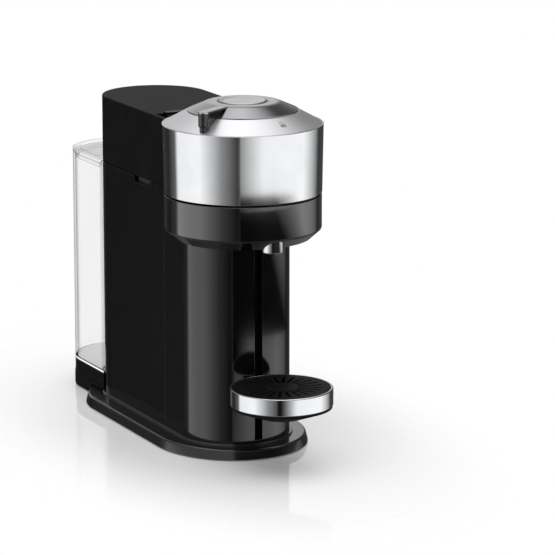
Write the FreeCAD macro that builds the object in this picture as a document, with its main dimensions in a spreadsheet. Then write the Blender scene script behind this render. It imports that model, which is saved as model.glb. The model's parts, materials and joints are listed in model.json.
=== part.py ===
import FreeCAD, Part
import math
import os
import re
import Sketcher
from FreeCAD import Placement, Rotation, Vector

# A pod coffee machine that stands by itself. Millimetres, +Z up, the front faces -Y.
# The origin lies on the floor under the middle of the machine's box.

SIZES = {
    # plan of the tower, the base, the head, the tank and the cup support
    "tower_radius": 49.5,
    "tower_front_y": -74.5,
    "tower_rear_y": 90.5,
    "split_inset": 12,
    "base_margin": 17,
    "head_forward": 18.5,
    "head_radius": 71,
    "ring_inset": 1.4,
    "tank_reach": 26.5,
    "tank_inset": 2,
    "tank_gap": 1.5,
    "support_radius": 45,
    "support_gap": 0.5,
    "spout_inset": 10.6,
    # clearances that several pieces share
    "seam_gap": 0.3,
    "seat_gap": 0.3,
    "run_gap": 0.3,
    "pin_gap": 0.05,
    "press_gap": 0.02,
    # base
    "foot_height": 1.5,
    "foot_radius": 8,
    "foot_spread": 34,
    "foot_side": 50,
    "foot_sink": 0.7,
    "pan_thick": 2.5,
    "base_height": 10,
    "skirt_lift": 1,
    "skirt_wall": 4,
    "skirt_draft": 14,
    "skirt_round": 1.6,
    "base_top_wall": 2.5,
    "lip_width": 2.2,
    "lip_height": 1.5,
    "screw_margin": 6.5,
    "screw_radius": 1.5,
    "screw_head": 2.9,
    "screw_length": 5.6,
    "screw_gap": 0.1,
    "boss_wall": 2,
    # tower
    "tower_height": 225.8,
    "tower_wall": 2.4,
    "slot_width": 7.4,
    "slot_lift": 4,
    "slot_drop": 4,
    "rail_half_width": 10,
    "rail_depth": 12,
    "rail_floor": 2.5,
    "rail_lip": 2,
    "channel_half": 6.4,
    "notch_y": 13,
    "notch_length": 34,
    "notch_height": 5.2,
    "chassis_back": 4,
    "chassis_thick": 3,
    "shelf_height": 120,
    "shelf_thick": 3,
    "chassis_side_gap": 1,
    "chassis_foot_inset": 4,
    "chassis_foot_depth": 10,
    "hose_hole": 4.4,
    "gland_y": 75,
    "gland_height": 20,
    "gland_radius": 7,
    "gland_flange": 2.5,
    "gland_flange_thick": 2,
    "gland_length": 6,
    "gland_bore": 3.7,
    # fixed lower head
    "ring_rise": 1.95,
    "ring_height": 30.75,
    "ring_wall": 2.4,
    "ring_round": 2.5,
    "ring_edge": 0.5,
    "under_height": 11.2,
    "under_step_inset": 9.6,
    "under_step_height": 2.7,
    "under_flat_inset": 20.6,
    "floor_thick": 2.5,
    "slope_shift": 1,
    "deck_thick": 2.4,
    "deck_drop": 0.55,
    "deck_hole": 39.6,
    "spout_radius": 9.4,
    "spout_bore": 2,
    "spout_drop": 0.8,
    "spout_round": 0.8,
    "trough_inner": 34.6,
    "trough_inset": 17.6,
    "trough_wall": 1.6,
    "trough_floor": 2,
    "trough_depth": 22,
    "trough_weir": 2.5,
    "duct_half_width": 9,
    "duct_height": 9,
    "reader_width": 12,
    "reader_depth": 9,
    "reader_height": 8,
    "reader_gap": 1,
    # capsule holder and its belt drive
    "holder_inner": 29.5,
    "holder_wall": 3,
    "holder_rim": 38,
    "holder_rim_thick": 3,
    "holder_depth": 21,
    "holder_drop": 0.75,
    "holder_floor": 3,
    "spindle_radius": 8,
    "bush_wall": 4,
    "bush_height": 3.3,
    "pulley_radius": 20,
    "pulley_height": 8,
    "belt_thick": 1.4,
    "belt_height": 6,
    "motor_inset": 20.6,
    "motor_radius": 18,
    "motor_length": 56,
    "motor_pulley_radius": 8,
    "motor_round": 2,
    "motor_shaft": 3,
    "shaft_room": 1,
    "motor_shaft_depth": 40,
    # moving head
    "head_gap": 1.5,
    "band_height": 60.75,
    "band_wall": 1.8,
    "band_taper": 1.1,
    "band_round": 1.2,
    "window_margin": 1.4,
    "window_half_width": 36,
    "window_bridge": 3.6,
    "shoulder_height": 11,
    "shoulder_wall": 2,
    "shoulder_radius": 49.6,
    "shoulder_lip": 5,
    "liner_thick": 2.5,
    "liner_lift": 1.2,
    "liner_hole": 39.5,
    "frame_drop": 13,
    "frame_thick": 3.5,
    "frame_gap": 0.4,
    "frame_hole": 12,
    "boss_radius": 26,
    "boss_bore": 23,
    "boss_drop": 10,
    "board_step": 3.5,
    "board_depth": 6,
    "board_thick": 1.6,
    "switch_size": 6,
    "switch_height": 1.6,
    "hinge_back": 5,
    "hinge_drop": 7,
    "pin_radius": 3,
    "pin_bore": 1.2,
    "knuckle_radius": 5,
    "lug_margin": 19.1,
    "lug_width": 5.7,
    "lug_root": 17,
    "lug_height": 6.5,
    "lug_sink": 1.5,
    "cheek_gap": 0.5,
    "cheek_width": 4,
    "cheek_half_depth": 5.5,
    "bracket_sink": 8,
    "bracket_thick": 3.2,
    "sill_front": 2,
    "pin_tail": 7,
    "cover_thick": 1.6,
    "cover_depth": 7,
    "spring_wire": 0.6,
    "spring_turns": 4,
    # clamp inside the moving head
    "clamp_lift": 3.25,
    "clamp_radius": 38,
    "clamp_skirt": 3.5,
    "clamp_skirt_wall": 3,
    "clamp_disc": 4,
    "clamp_round": 1,
    "clamp_shaft": 12,
    "clamp_shaft_length": 28,
    "clamp_bush_wall": 4,
    "clamp_bush_length": 33,
    "clamp_bush_flange": 8,
    "clamp_flange_thick": 3,
    "seal_thick": 1.6,
    "seal_inset": 0.5,
    "seal_overhang": 1,
    "needle_radius": 4,
    "needle_gap": 0.3,
    "needle_reach": 9.5,
    "needle_cone": 6,
    "needle_bore": 1,
    "injector_head": 9,
    "feed_radius": 2.2,
    "feed_bend": 8,
    # lever, collar and button
    "collar_radius": 48.9,
    "collar_height": 7.9,
    "collar_edge": 0.6,
    "collar_flat": 32,
    "collar_wall": 2,
    "collar_round": 1.5,
    "collar_hub_wall": 2.5,
    "collar_bore": 22.3,
    "hub_drop": 13,
    "cam_radius": 40,
    "cam_height": 3.5,
    "cam_lobe_radius": 5,
    "cam_lobes": 3,
    "lever_angle": 57,
    "lever_inset": 1.6,
    "lever_half_width": 4.75,
    "lever_web_half": 3.4,
    "lever_foot_radius": 3.9,
    "lever_gap": 0.5,
    "lever_cap_thick": 1.4,
    "button_radius": 20.5,
    "button_rise": 0.8,
    "button_skirt": 5,
    "button_dish": 0.9,
    "button_rim": 1.4,
    "button_stem": 5,
    "button_stem_length": 6,
    "light_wall": 1.2,
    "light_flange": 1,
    # capsule bin behind the head
    "bin_gap": 1,
    "bin_drop": 2,
    "bin_wall": 2.2,
    "bin_top_wall": 3,
    "bin_round": 1.2,
    "bin_clear": 4.5,
    "bin_recess_wall": 3.7,
    "bin_recess_gap": 2,
    "bin_front": 3,
    "bucket_inset": 1.6,
    "bucket_wall": 2,
    "bin_window_half": 31,
    "bin_window_height": 44,
    "bin_window_lift": 2.5,
    # water tank, its lid, valve and seat
    "seat_top": 13.7,
    "seat_flare": 0.5,
    "plug_height": 11.8,
    "tank_height": 212.2,
    "tank_wall": 2.2,
    "tank_floor": 3,
    "lid_height": 3.9,
    "lid_rim": 7,
    "lid_recess": 1.5,
    "lid_plug_depth": 5,
    "valve_forward": 12,
    "socket_radius": 8.3,
    "socket_floor": 2.8,
    "socket_post": 1.1,
    "post_radius": 1.6,
    "cage_radius": 6.8,
    "cage_bore": 4.8,
    "cage_lip": 3.2,
    "cage_lip_height": 1.5,
    "cage_flange": 3.2,
    "cage_flange_thick": 1.5,
    "cage_top": 5.7,
    "cage_cap": 1.5,
    "cage_window_gap": 1,
    "stem_radius": 2,
    "stem_tip": 1.3,
    "stem_top": 2,
    "valve_head": 4.4,
    "valve_head_height": 2,
    "valve_spring_radius": 3.4,
    "valve_spring_wire": 0.4,
    "valve_spring_turns": 5,
    "seal_height": 2.5,
    # water and electric parts inside the tower
    "inlet_height": 5.3,
    "inlet_radius": 2.5,
    "inlet_inside": 14,
    "meter_radius": 12,
    "meter_height": 22,
    "meter_spigot": 4,
    "pump_x": -21,
    "pump_z": 40,
    "pump_back": 27,
    "pump_end_radius": 8,
    "pump_end_length": 18,
    "pump_coil_half": 17,
    "pump_coil_length": 36,
    "pump_nipple": 3,
    "pump_nipple_length": 7,
    "mount_half_width": 12,
    "mount_thick": 8,
    "heater_x": 23,
    "heater_back": 29,
    "heater_width": 34,
    "heater_length": 78,
    "heater_height": 48,
    "heater_leg": 26,
    "heater_leg_size": 8,
    "heater_round": 4,
    "heater_port": 3,
    "heater_port_length": 7,
    "heater_port_spread": 9,
    "hose_radius": 3.4,
    "hose_bend": 7,
    "hose_lead": 8,
    "hose_side": 6,
    "hose_climb": 21,
    "board_half_width": 30,
    "board_lift": 26,
    "board_height": 88,
    "board_standoff": 2.5,
    "stud_radius": 2.9,
    "stud_inset": 4.5,
    "part_depth": 13,
    "part_lift": 10,
    "part_side": 5,
    "transformer_width": 21,
    "transformer_height": 26,
    "relay_width": 18,
    "relay_height": 17,
    "can_radius": 4.3,
    "can_pitch": 15,
    "can_lift": 62,
    # cup support
    "support_top": 73,
    "support_height": 15.5,
    "support_wall": 2.1,
    "support_round": 1.2,
    "bowl_drop": 11,
    "bowl_foot": 20,
    "bowl_wall": 2,
    "bowl_flange": 2,
    "bowl_collar": 3,
    "tray_wall": 1.7,
    "tray_floor": 1.8,
    "grid_thick": 2,
    "grid_slots": 24,
    "grid_slot_width": 2.6,
    "grid_slot_inner": 15,
    "grid_slot_length": 20,
    "neck_half": 3,
    "neck_height": 9.5,
    "neck_root": 16,
    "shoe_half": 5.8,
    "shoe_depth": 4.3,
    "shoe_height": 24,
    "shoe_play": 2.3,
}

# Heights and places worked out from the sizes. Each is a formula over the sheet's names.
HEAD_Y = "(tower_front_y - head_forward)"
TANK_Y = "(tower_rear_y + tower_radius + tank_reach)"
TANK_R = "(tower_radius - tank_inset)"
BITE_R = "(tower_radius + tank_gap)"
BASE_R = "(tower_radius + base_margin)"
SUPPORT_Y = "(tower_front_y - tower_radius - support_gap - support_radius)"
RING_R = "(head_radius - ring_inset)"
UNDER_STEP_R = f"({RING_R} - under_step_inset)"
UNDER_FLAT_R = f"({RING_R} - under_flat_inset)"
TROUGH_R = f"({RING_R} - trough_inset)"
SPOUT_Y = f"({HEAD_Y} - {RING_R} + spout_inset)"
MOTOR_OFFSET = f"({RING_R} - motor_inset)"
MOTOR_Y = f"({HEAD_Y} + {MOTOR_OFFSET})"
SPLIT_Y = f"({HEAD_Y} + head_radius - split_inset)"
HINGE_Y = f"({HEAD_Y} + head_radius + hinge_back)"
CHASSIS_Y = f"({HINGE_Y} + chassis_back)"
PUMP_Y = f"({CHASSIS_Y} + pump_back)"
HEATER_Y = f"({CHASSIS_Y} + heater_back)"
VALVE_Y = f"({TANK_Y} - valve_forward)"
INNER_R = "(tower_radius - tower_wall)"
FRONT_Y = "(tower_front_y - tower_radius)"
BAND_INNER = "(head_radius - band_taper - band_wall)"
LEVER_X = "(head_radius - lever_inset - lever_half_width)"

# How far a cutting solid runs past the face it opens.
OVER = "1"

PAN_TOP = "(foot_height + pan_thick)"
SEAM_Z = f"({PAN_TOP} + tower_height)"
RING_TOP = f"({SEAM_Z} + ring_rise)"
RING_Z = f"({RING_TOP} - ring_height)"
FLOOR_Z = f"({RING_Z} - under_height)"
FLOOR_TOP = f"({FLOOR_Z} + floor_thick)"
BAND_Z = f"({RING_TOP} + head_gap)"
BAND_TOP = f"({BAND_Z} + band_height)"
SHOULDER_TOP = f"({BAND_TOP} + shoulder_height)"
COLLAR_Z = f"({SHOULDER_TOP} + run_gap)"
COLLAR_TOP = f"({COLLAR_Z} + collar_height)"
BUTTON_TOP = f"({COLLAR_TOP} + button_rise)"
BIN_Z = f"({SEAM_Z} + bin_gap)"
BIN_TOP = f"({BAND_TOP} - bin_drop)"
BIN_FRONT = f"({CHASSIS_Y} + chassis_thick + bin_front)"
SHELF_TOP = f"({PAN_TOP} + shelf_height + shelf_thick)"
HINGE_Z = f"({BAND_TOP} - hinge_drop)"
FRAME_Z = f"({BAND_TOP} - frame_drop)"
FRAME_TOP = f"({FRAME_Z} + frame_thick)"
BOSS_TOP = f"({COLLAR_TOP} - boss_drop)"
BOARD_Z = f"({BOSS_TOP} - board_depth)"
LUG_INNER = f"({INNER_R} - lug_margin)"
LUG_END = f"({LUG_INNER} + lug_width)"
CHEEK_X = f"({LUG_END} + cheek_gap)"
CHEEK_END = f"({CHEEK_X} + cheek_width)"
DECK_Z = f"({RING_TOP} - deck_drop - deck_thick)"
TROUGH_TOP = f"({DECK_Z} - seat_gap)"
TROUGH_Z = f"({TROUGH_TOP} - trough_depth)"
PULLEY_Z = f"({FLOOR_TOP} + bush_height + run_gap)"
BELT_Z = f"({PULLEY_Z} + (pulley_height - belt_height) / 2)"
HOLDER_TOP = f"({RING_TOP} - holder_drop)"
CLAMP_Z = f"({BAND_Z} + clamp_lift)"
CLAMP_TOP = f"({CLAMP_Z} + clamp_skirt + clamp_disc)"
PLUG_TOP = "(seat_top + plug_height)"
TANK_Z = "(seat_top + seat_gap)"
TANK_FLOOR_Z = f"({PLUG_TOP} + seat_gap)"
TANK_FLOOR_TOP = f"({TANK_FLOOR_Z} + tank_floor)"
TANK_TOP = f"({TANK_Z} + tank_height)"
LID_Z = f"({TANK_TOP} + seat_gap)"
SOCKET_Z = "(base_height + socket_floor)"
STEM_Z = f"({SOCKET_Z} + socket_post + seat_gap)"
CAGE_Z = f"({STEM_Z} + stem_tip)"
CAGE_TOP = f"({TANK_FLOOR_TOP} + cage_flange_thick + cage_top)"
INLET_Z = "(base_height + inlet_height)"
SUPPORT_Z = "(support_top - support_height)"
BOWL_Z = f"({SUPPORT_Z} - bowl_drop)"

doc = FreeCAD.newDocument("pod_coffee_machine")
sheet = doc.addObject("Spreadsheet::Sheet", "Sizes")
for row, (alias, value) in enumerate(SIZES.items(), start=1):
    sheet.set(f"A{row}", alias)
    sheet.set(f"B{row}", str(value))
    sheet.setAlias(f"B{row}", alias)
doc.recompute()

NAME = re.compile(r"\b(" + "|".join(SIZES) + r")\b")
ACROSS = {
    "X": Rotation(Vector(0, 1, 0), 90),
    "Y": Rotation(Vector(1, 0, 0), -90),
    "Z": Rotation(),
}
pieces = []


def tied(formula):
    """The formula with each size name pointing at its cell of the sheet."""
    return NAME.sub(lambda word: "Sizes." + word.group(0), formula)


def num(formula):
    """The number that a formula gives now."""
    return float(sheet.evalExpression(formula))


def bind(thing, settings):
    """Tie properties of an object to formulas over the sheet."""
    for name, formula in settings.items():
        thing.setExpression(name, tied(formula))


def place(thing, x="0", y="0", z="0", axis="Z"):
    """Put an object's origin at a point, with its own Z along the given axis."""
    thing.Placement = Placement(Vector(), ACROSS[axis])
    bind(thing, {"Placement.Base.x": x, "Placement.Base.y": y, "Placement.Base.z": z})


def cylinder(name, radius, height, x="0", y="0", z="0", axis="Z"):
    solid = doc.addObject("Part::Cylinder", name)
    bind(solid, {"Radius": radius, "Height": height})
    place(solid, x, y, z, axis)
    return solid


def block(name, xs, ys, zs):
    """A box between two formulas along each axis."""
    solid = doc.addObject("Part::Box", name)
    sides = {"Length": xs, "Width": ys, "Height": zs}
    bind(solid, {side: f"({high}) - ({low})" for side, (low, high) in sides.items()})
    place(solid, xs[0], ys[0], zs[0])
    return solid


def join(name, *solids):
    fused = doc.addObject("Part::MultiFuse", name)
    fused.Shapes = list(solids)
    return fused


def group(name, *solids):
    """Separate solids under one name."""
    together = doc.addObject("Part::Compound", name)
    together.Links = list(solids)
    return together


def cut(name, solid, *tools):
    result = doc.addObject("Part::Cut", name)
    result.Base = solid
    result.Tool = tools[0] if len(tools) == 1 else join(name + "_tools", *tools)
    return result


def overlap(name, solid, other):
    result = doc.addObject("Part::Common", name)
    result.Base = solid
    result.Tool = other
    return result


def finished(label, solid):
    """Give a sub-part the name of its file and list it for export."""
    solid.Label = label
    pieces.append(solid)
    return solid


def rounded_ends(before, corner, after, radius):
    """Where the lines beside a rounded corner end and start, and the arc between them."""
    to_before = (before - corner).normalize()
    to_after = (after - corner).normalize()
    half = to_before.getAngle(to_after) / 2
    arrive = corner + to_before * (radius / math.tan(half))
    leave = corner + to_after * (radius / math.tan(half))
    centre = corner + (to_before + to_after).normalize() * (radius / math.sin(half))
    turns_left = (corner - before).cross(after - corner).z > 0
    first, last = (arrive, leave) if turns_left else (leave, arrive)
    angles = [math.atan2(end.y - centre.y, end.x - centre.x) for end in (first, last)]
    circle = Part.Circle(centre, Vector(0, 0, 1), radius)
    return arrive, leave, Part.ArcOfCircle(circle, angles[0], angles[1]), turns_left


def draw(body, role, corners):
    """A closed outline. A corner is two formulas, and a third one rounds it."""
    plane = next(item for item in body.Origin.OriginFeatures if item.Role == role)
    sketch = body.newObject("Sketcher::SketchObject", body.Name + "_outline")
    sketch.AttachmentSupport = [(plane, "")]
    sketch.MapMode = "FlatFace"
    count = len(corners)
    points = [Vector(num(corner[0]), num(corner[1]), 0) for corner in corners]
    starts = list(points)
    ends = list(points)
    arcs = {}
    for index, corner in enumerate(corners):
        if len(corner) == 3:
            found = rounded_ends(points[index - 1], points[index], points[(index + 1) % count],
                                 num(corner[2]))
            ends[index], starts[index] = found[0], found[1]
            arcs[index] = found[2:]
    for index in range(count):
        sketch.addGeometry(Part.LineSegment(starts[index], ends[(index + 1) % count]), False)
    rules = []
    formulas = {}

    def hold(geometry, end, u, v):
        for kind, axis, formula in (("DistanceX", -2, u), ("DistanceY", -1, v)):
            if formula == "0":
                rules.append(Sketcher.Constraint("PointOnObject", geometry, end, axis))
            else:
                formulas[len(rules)] = formula
                rules.append(Sketcher.Constraint(kind, -1, 1, geometry, end, num(formula)))

    for index, corner in enumerate(corners):
        before = (index - 1) % count
        if index not in arcs:
            rules.append(Sketcher.Constraint("Coincident", before, 2, index, 1))
            hold(index, 1, corner[0], corner[1])
            continue
        arc, turns_left = arcs[index]
        bend = sketch.addGeometry(arc, False)
        tip = sketch.addGeometry(Part.Point(points[index]), True)
        arrive, leave = (1, 2) if turns_left else (2, 1)
        rules.append(Sketcher.Constraint("Tangent", before, 2, bend, arrive))
        rules.append(Sketcher.Constraint("Tangent", bend, leave, index, 1))
        formulas[len(rules)] = corner[2]
        rules.append(Sketcher.Constraint("Radius", bend, num(corner[2])))
        rules.append(Sketcher.Constraint("PointOnObject", tip, 1, before))
        rules.append(Sketcher.Constraint("PointOnObject", tip, 1, index))
        hold(tip, 1, corner[0], corner[1])
    sketch.addConstraint(rules)
    bind(sketch, {f"Constraints[{number}]": formula for number, formula in formulas.items()})
    return sketch


def turned(name, corners, x="0", y="0", z="0", axis="Z"):
    """A body turned about its own axis, from corners given as radius and height."""
    body = doc.addObject("PartDesign::Body", name)
    sketch = draw(body, "XZ_Plane", corners)
    solid = body.newObject("PartDesign::Revolution", name + "_turn")
    solid.Profile = sketch
    solid.ReferenceAxis = (sketch, ["V_Axis"])
    solid.Angle = 360
    place(body, x, y, z, axis)
    return body


def head_turned(name, corners):
    """A body turned about the upright axis of the head."""
    return turned(name, corners, y=HEAD_Y)


def ring(name, inner, outer, bottom, top, y):
    """A plain upright tube."""
    return turned(name, [(inner, bottom), (outer, bottom), (outer, top), (inner, top)], y=y)


def stadium(name, front, rear, radius, bottom, top, draft="0"):
    """An upright prism with straight sides and half-round ends, drawn in as it rises."""
    body = doc.addObject("PartDesign::Body", name)
    plane = next(item for item in body.Origin.OriginFeatures if item.Role == "XY_Plane")
    sketch = body.newObject("Sketcher::SketchObject", name + "_outline")
    sketch.AttachmentSupport = [(plane, "")]
    sketch.MapMode = "FlatFace"
    reach = num(radius)
    low = num(front)
    high = num(rear)
    up = Vector(0, 0, 1)
    sketch.addGeometry(Part.ArcOfCircle(Part.Circle(Vector(0, low, 0), up, reach), math.pi, 2 * math.pi),
                       False)
    sketch.addGeometry(Part.LineSegment(Vector(reach, low, 0), Vector(reach, high, 0)), False)
    sketch.addGeometry(Part.ArcOfCircle(Part.Circle(Vector(0, high, 0), up, reach), 0, math.pi), False)
    sketch.addGeometry(Part.LineSegment(Vector(-reach, high, 0), Vector(-reach, low, 0)), False)
    rules = [Sketcher.Constraint("Tangent", side, 2, (side + 1) % 4, 1) for side in range(4)]
    rules.append(Sketcher.Constraint("PointOnObject", 0, 3, -2))
    rules.append(Sketcher.Constraint("PointOnObject", 2, 3, -2))
    first = len(rules)
    rules.append(Sketcher.Constraint("DistanceY", -1, 1, 0, 3, low))
    rules.append(Sketcher.Constraint("DistanceY", -1, 1, 2, 3, high))
    rules.append(Sketcher.Constraint("Radius", 0, reach))
    sketch.addConstraint(rules)
    bind(sketch, {f"Constraints[{first + step}]": formula for step,
                  formula in enumerate((front, rear, radius))})
    solid = body.newObject("PartDesign::Pad", name + "_pad")
    solid.Profile = sketch
    bind(solid, {"Length": f"({top}) - ({bottom})", "TaperAngle": f"-1 * ({draft})"})
    place(body, z=bottom)
    return body


def tower_prism(name, radius, bottom, top, draft="0"):
    """A stadium prism on the tower's two end centres."""
    return stadium(name, "tower_front_y", "tower_rear_y", radius, bottom, top, draft)


def crescent(name, radius, bite, bottom, top):
    """The tank's plan: straight sides, a round back and a front that hugs the tower's round back."""
    whole = stadium(name + "_whole", "tower_rear_y", TANK_Y, radius, bottom, top)
    tower_back = cylinder(name + "_bite", bite, f"({top}) - ({bottom}) + 2 * {OVER}", y="tower_rear_y",
                          z=f"({bottom}) - {OVER}")
    return cut(name, whole, tower_back)


def round_rim(body, height, radius):
    """Round the edges of a body that lie at one height above its own plane."""
    doc.recompute()
    level = num(height)
    solid = body.Tip
    edges = []
    for number, edge in enumerate(solid.Shape.Edges, start=1):
        if abs(edge.BoundBox.ZMin - level) < 1e-4 and abs(edge.BoundBox.ZMax - level) < 1e-4:
            edges.append(f"Edge{number}")
    fillet = body.newObject("PartDesign::Fillet", body.Name + "_round")
    fillet.Base = (solid, edges)
    bind(fillet, {"Radius": radius})
    return body


def bent_path(points, bend):
    """Straight runs joined by tangent arcs, as one wire."""
    edges = []
    last = points[0]
    for before, corner, after in zip(points, points[1:], points[2:]):
        to_before = (before - corner).normalize()
        to_after = (after - corner).normalize()
        half = to_before.getAngle(to_after) / 2
        reach = bend / math.tan(half)
        arrive = corner + to_before * reach
        leave = corner + to_after * reach
        centre = corner + (to_before + to_after).normalize() * (bend / math.sin(half))
        middle = centre + (corner - centre).normalize() * bend
        edges.append(Part.LineSegment(last, arrive).toShape())
        edges.append(Part.Arc(arrive, middle, leave).toShape())
        last = leave
    edges.append(Part.LineSegment(last, points[-1]).toShape())
    return Part.Wire(edges)


def pipe_along(path, radius):
    """A round solid that follows a path."""
    start = path.Edges[0]
    heading = start.tangentAt(start.FirstParameter)
    section = Part.Wire(Part.makeCircle(radius, start.valueAt(start.FirstParameter), heading))
    return path.makePipeShell([section], True, False)


def tube(name, points, radius, bend):
    """A bent pipe through points given as formulas."""
    spots = [Vector(*(num(part) for part in point)) for point in points]
    pipe = doc.addObject("Part::Feature", name)
    pipe.Shape = pipe_along(bent_path(spots, num(bend)), num(radius))
    return pipe


def coil(name, radius, wire, turns, length, x, y, z, axis):
    """A spring of even turns along its own axis, as quarter turns of arc."""
    reach = num(radius)
    rise = num(length)
    quarters = int(4 * num(turns))

    def spot(step):
        angle = step * math.pi / 2
        return Vector(reach * math.cos(angle), reach * math.sin(angle), rise * step / quarters)

    edges = [Part.Arc(spot(step), spot(step + 0.5), spot(step + 1)).toShape() for step in range(quarters)]
    spring = doc.addObject("Part::Feature", name)
    spring.Shape = pipe_along(Part.Wire(edges), num(wire))
    place(spring, x, y, z, axis)
    return spring


def mirrored_pair(name, make):
    """The same solid on both sides, made by a function of a name and a side sign."""
    return [make(f"{name}_left", "-1"), make(f"{name}_right", "1")]


def side_block(name, sign, near, far, ys, zs):
    """A block between two distances from the middle plane, on one side of it."""
    low, high = (near, far) if sign == "1" else (f"-1 * ({far})", f"-1 * ({near})")
    return block(name, (low, high), ys, zs)


# Base


def foot_places():
    front = "(tower_front_y - foot_spread)"
    rear = "(tower_rear_y + foot_spread)"
    middle = "((tower_front_y + tower_rear_y) / 2)"
    places = [("0", TANK_Y)]
    for sign in ("-1", "1"):
        places.append((f"{sign} * foot_spread", front))
        places.append((f"{sign} * foot_side", middle))
        places.append((f"{sign} * foot_spread", rear))
    return places


def screw_places():
    reach = "(tower_radius + screw_margin)"
    places = [("0", f"tower_front_y - {reach}"), ("0", f"tower_rear_y + {reach}")]
    for sign in ("-1", "1"):
        places.append((f"{sign} * {reach}", "tower_front_y"))
        places.append((f"{sign} * {reach}", "tower_rear_y"))
    return places


def screw_holes(name, bottom, height):
    radius = "screw_radius + screw_gap"
    return [cylinder(f"{name}_{number}", radius, height, x, y, bottom)
            for number, (x, y) in enumerate(screw_places(), start=1)]


def foot_pads(name, radius, height):
    return [cylinder(f"{name}_{number}", radius, height, x, y, "0")
            for number, (x, y) in enumerate(foot_places(), start=1)]


def make_feet():
    finished("feet", group("feet", *foot_pads("foot", "foot_radius", "foot_height + foot_sink")))


def make_base_pan():
    plate = tower_prism("pan_plate", f"{BASE_R} - skirt_wall - seat_gap", "foot_height", PAN_TOP)
    pockets = foot_pads("pan_pocket", "foot_radius + seat_gap", "foot_height + foot_sink")
    holes = screw_holes("pan_hole", "0", f"{PAN_TOP} + {OVER}")
    finished("base_pan", cut("base_pan", plate, *pockets, *holes))


def make_base_cover():
    skirt = tower_prism("cover_skirt", BASE_R, "skirt_lift", "base_height", "skirt_draft")
    round_rim(skirt, "base_height - skirt_lift", "skirt_round")
    lip = tower_prism("cover_lip", "tower_radius + seam_gap + lip_width", f"base_height - {OVER}",
                      "base_height + lip_height")
    round_rim(lip, f"lip_height + {OVER}", "lip_width / 3")
    ceiling = "(base_height - base_top_wall)"
    cavity = tower_prism("cover_cavity", f"{BASE_R} - skirt_wall", "0", ceiling)
    opening = tower_prism("cover_opening", "tower_radius + seam_gap", "0",
                          f"base_height + lip_height + {OVER}")
    shell = cut("cover_shell", join("cover_outside", skirt, lip), cavity, opening)
    bosses = [cylinder(f"cover_boss_{number}", "screw_radius + boss_wall",
                       f"{ceiling} - {PAN_TOP} + {OVER}",
                       x, y, PAN_TOP)
              for number, (x, y) in enumerate(screw_places(), start=1)]
    holes = screw_holes("cover_hole", "0", "foot_height + screw_length + screw_gap")
    finished("base_cover", cut("base_cover", join("cover_bossed", shell, *bosses), *holes))


def make_base_screws():
    head = "(foot_height - screw_gap)"
    screws = []
    for number, (x, y) in enumerate(screw_places(), start=1):
        corners = [("0", "screw_gap"), ("screw_head", "screw_gap"), ("screw_head", head),
                   ("screw_radius", head), ("screw_radius", "foot_height + screw_length"),
                   ("0", "foot_height + screw_length")]
        screws.append(turned(f"screw_{number}", corners, x, y))
    finished("base_screws", group("base_screws", *screws))


# Tower


def under_profile(gap):
    """Corners of the lower head's outside, grown by a gap: the ring, the slope and the flat."""
    return [
        ("0", f"{FLOOR_Z} - {gap}"),
        (f"{UNDER_FLAT_R} + {gap} / 2", f"{FLOOR_Z} - {gap}"),
        (f"{UNDER_STEP_R} + {gap} / 2", f"{FLOOR_Z} + under_step_height - {gap}"),
        (f"{RING_R} + {gap}", f"{RING_Z} - {gap}", "ring_round"),
    ]


def head_keepout(name):
    """The room that the fixed lower head takes out of the tower."""
    return head_turned(name, under_profile("seam_gap") + [
        (f"{RING_R} + seam_gap", f"{RING_TOP} + {OVER}"), ("0", f"{RING_TOP} + {OVER}")])


def tower_tube(name):
    outside = tower_prism(name + "_outside", "tower_radius", PAN_TOP, SEAM_Z)
    inside = tower_prism(name + "_inside", INNER_R, f"{PAN_TOP} - {OVER}", f"{SEAM_Z} + {OVER}")
    return cut(name + "_tube", outside, inside)


def make_tower_front():
    sides = (f"-1 * tower_radius - {OVER}", f"tower_radius + {OVER}")
    behind = block("front_behind", sides, (f"{SPLIT_Y} - seam_gap / 2",
                                           f"tower_rear_y + tower_radius + {OVER}"),
                   ("0", f"{SEAM_Z} + {OVER}"))
    slot = block("front_slot", ("-1 * slot_width / 2", "slot_width / 2"),
                 (f"{FRONT_Y} - {OVER}", f"{FRONT_Y} + 2 * tower_wall"),
                 ("base_height + slot_lift", f"{FLOOR_Z} - slot_drop"))
    shell = cut("tower_front_cover", tower_tube("front"), behind, slot, head_keepout("front_keepout"))
    finished("tower_front_cover", shell)


def make_tower_rear():
    sides = (f"-1 * tower_radius - {OVER}", f"tower_radius + {OVER}")
    ahead = block("rear_ahead", sides, (f"{FRONT_Y} - {OVER}", f"{SPLIT_Y} + seam_gap / 2"),
                  ("0", f"{SEAM_Z} + {OVER}"))
    notches = block("rear_notches", sides, ("notch_y - notch_length / 2", "notch_y + notch_length / 2"),
                    (f"{SEAM_Z} - notch_height", f"{SEAM_Z} + {OVER}"))
    inlet = cylinder("rear_inlet", "inlet_radius + seat_gap", "3 * tower_wall",
                     y="tower_rear_y + tower_radius - 2 * tower_wall", z=INLET_Z, axis="Y")
    gland = cylinder("rear_gland", "gland_radius + press_gap", "3 * tower_wall",
                     x=f"{INNER_R} - tower_wall",
                     y="gland_y", z=f"{PAN_TOP} + gland_height", axis="X")
    shell = cut("tower_rear_shell", tower_tube("rear"), ahead, notches, inlet, gland,
                head_keepout("rear_keepout"))
    finished("tower_rear_shell", shell)


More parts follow.
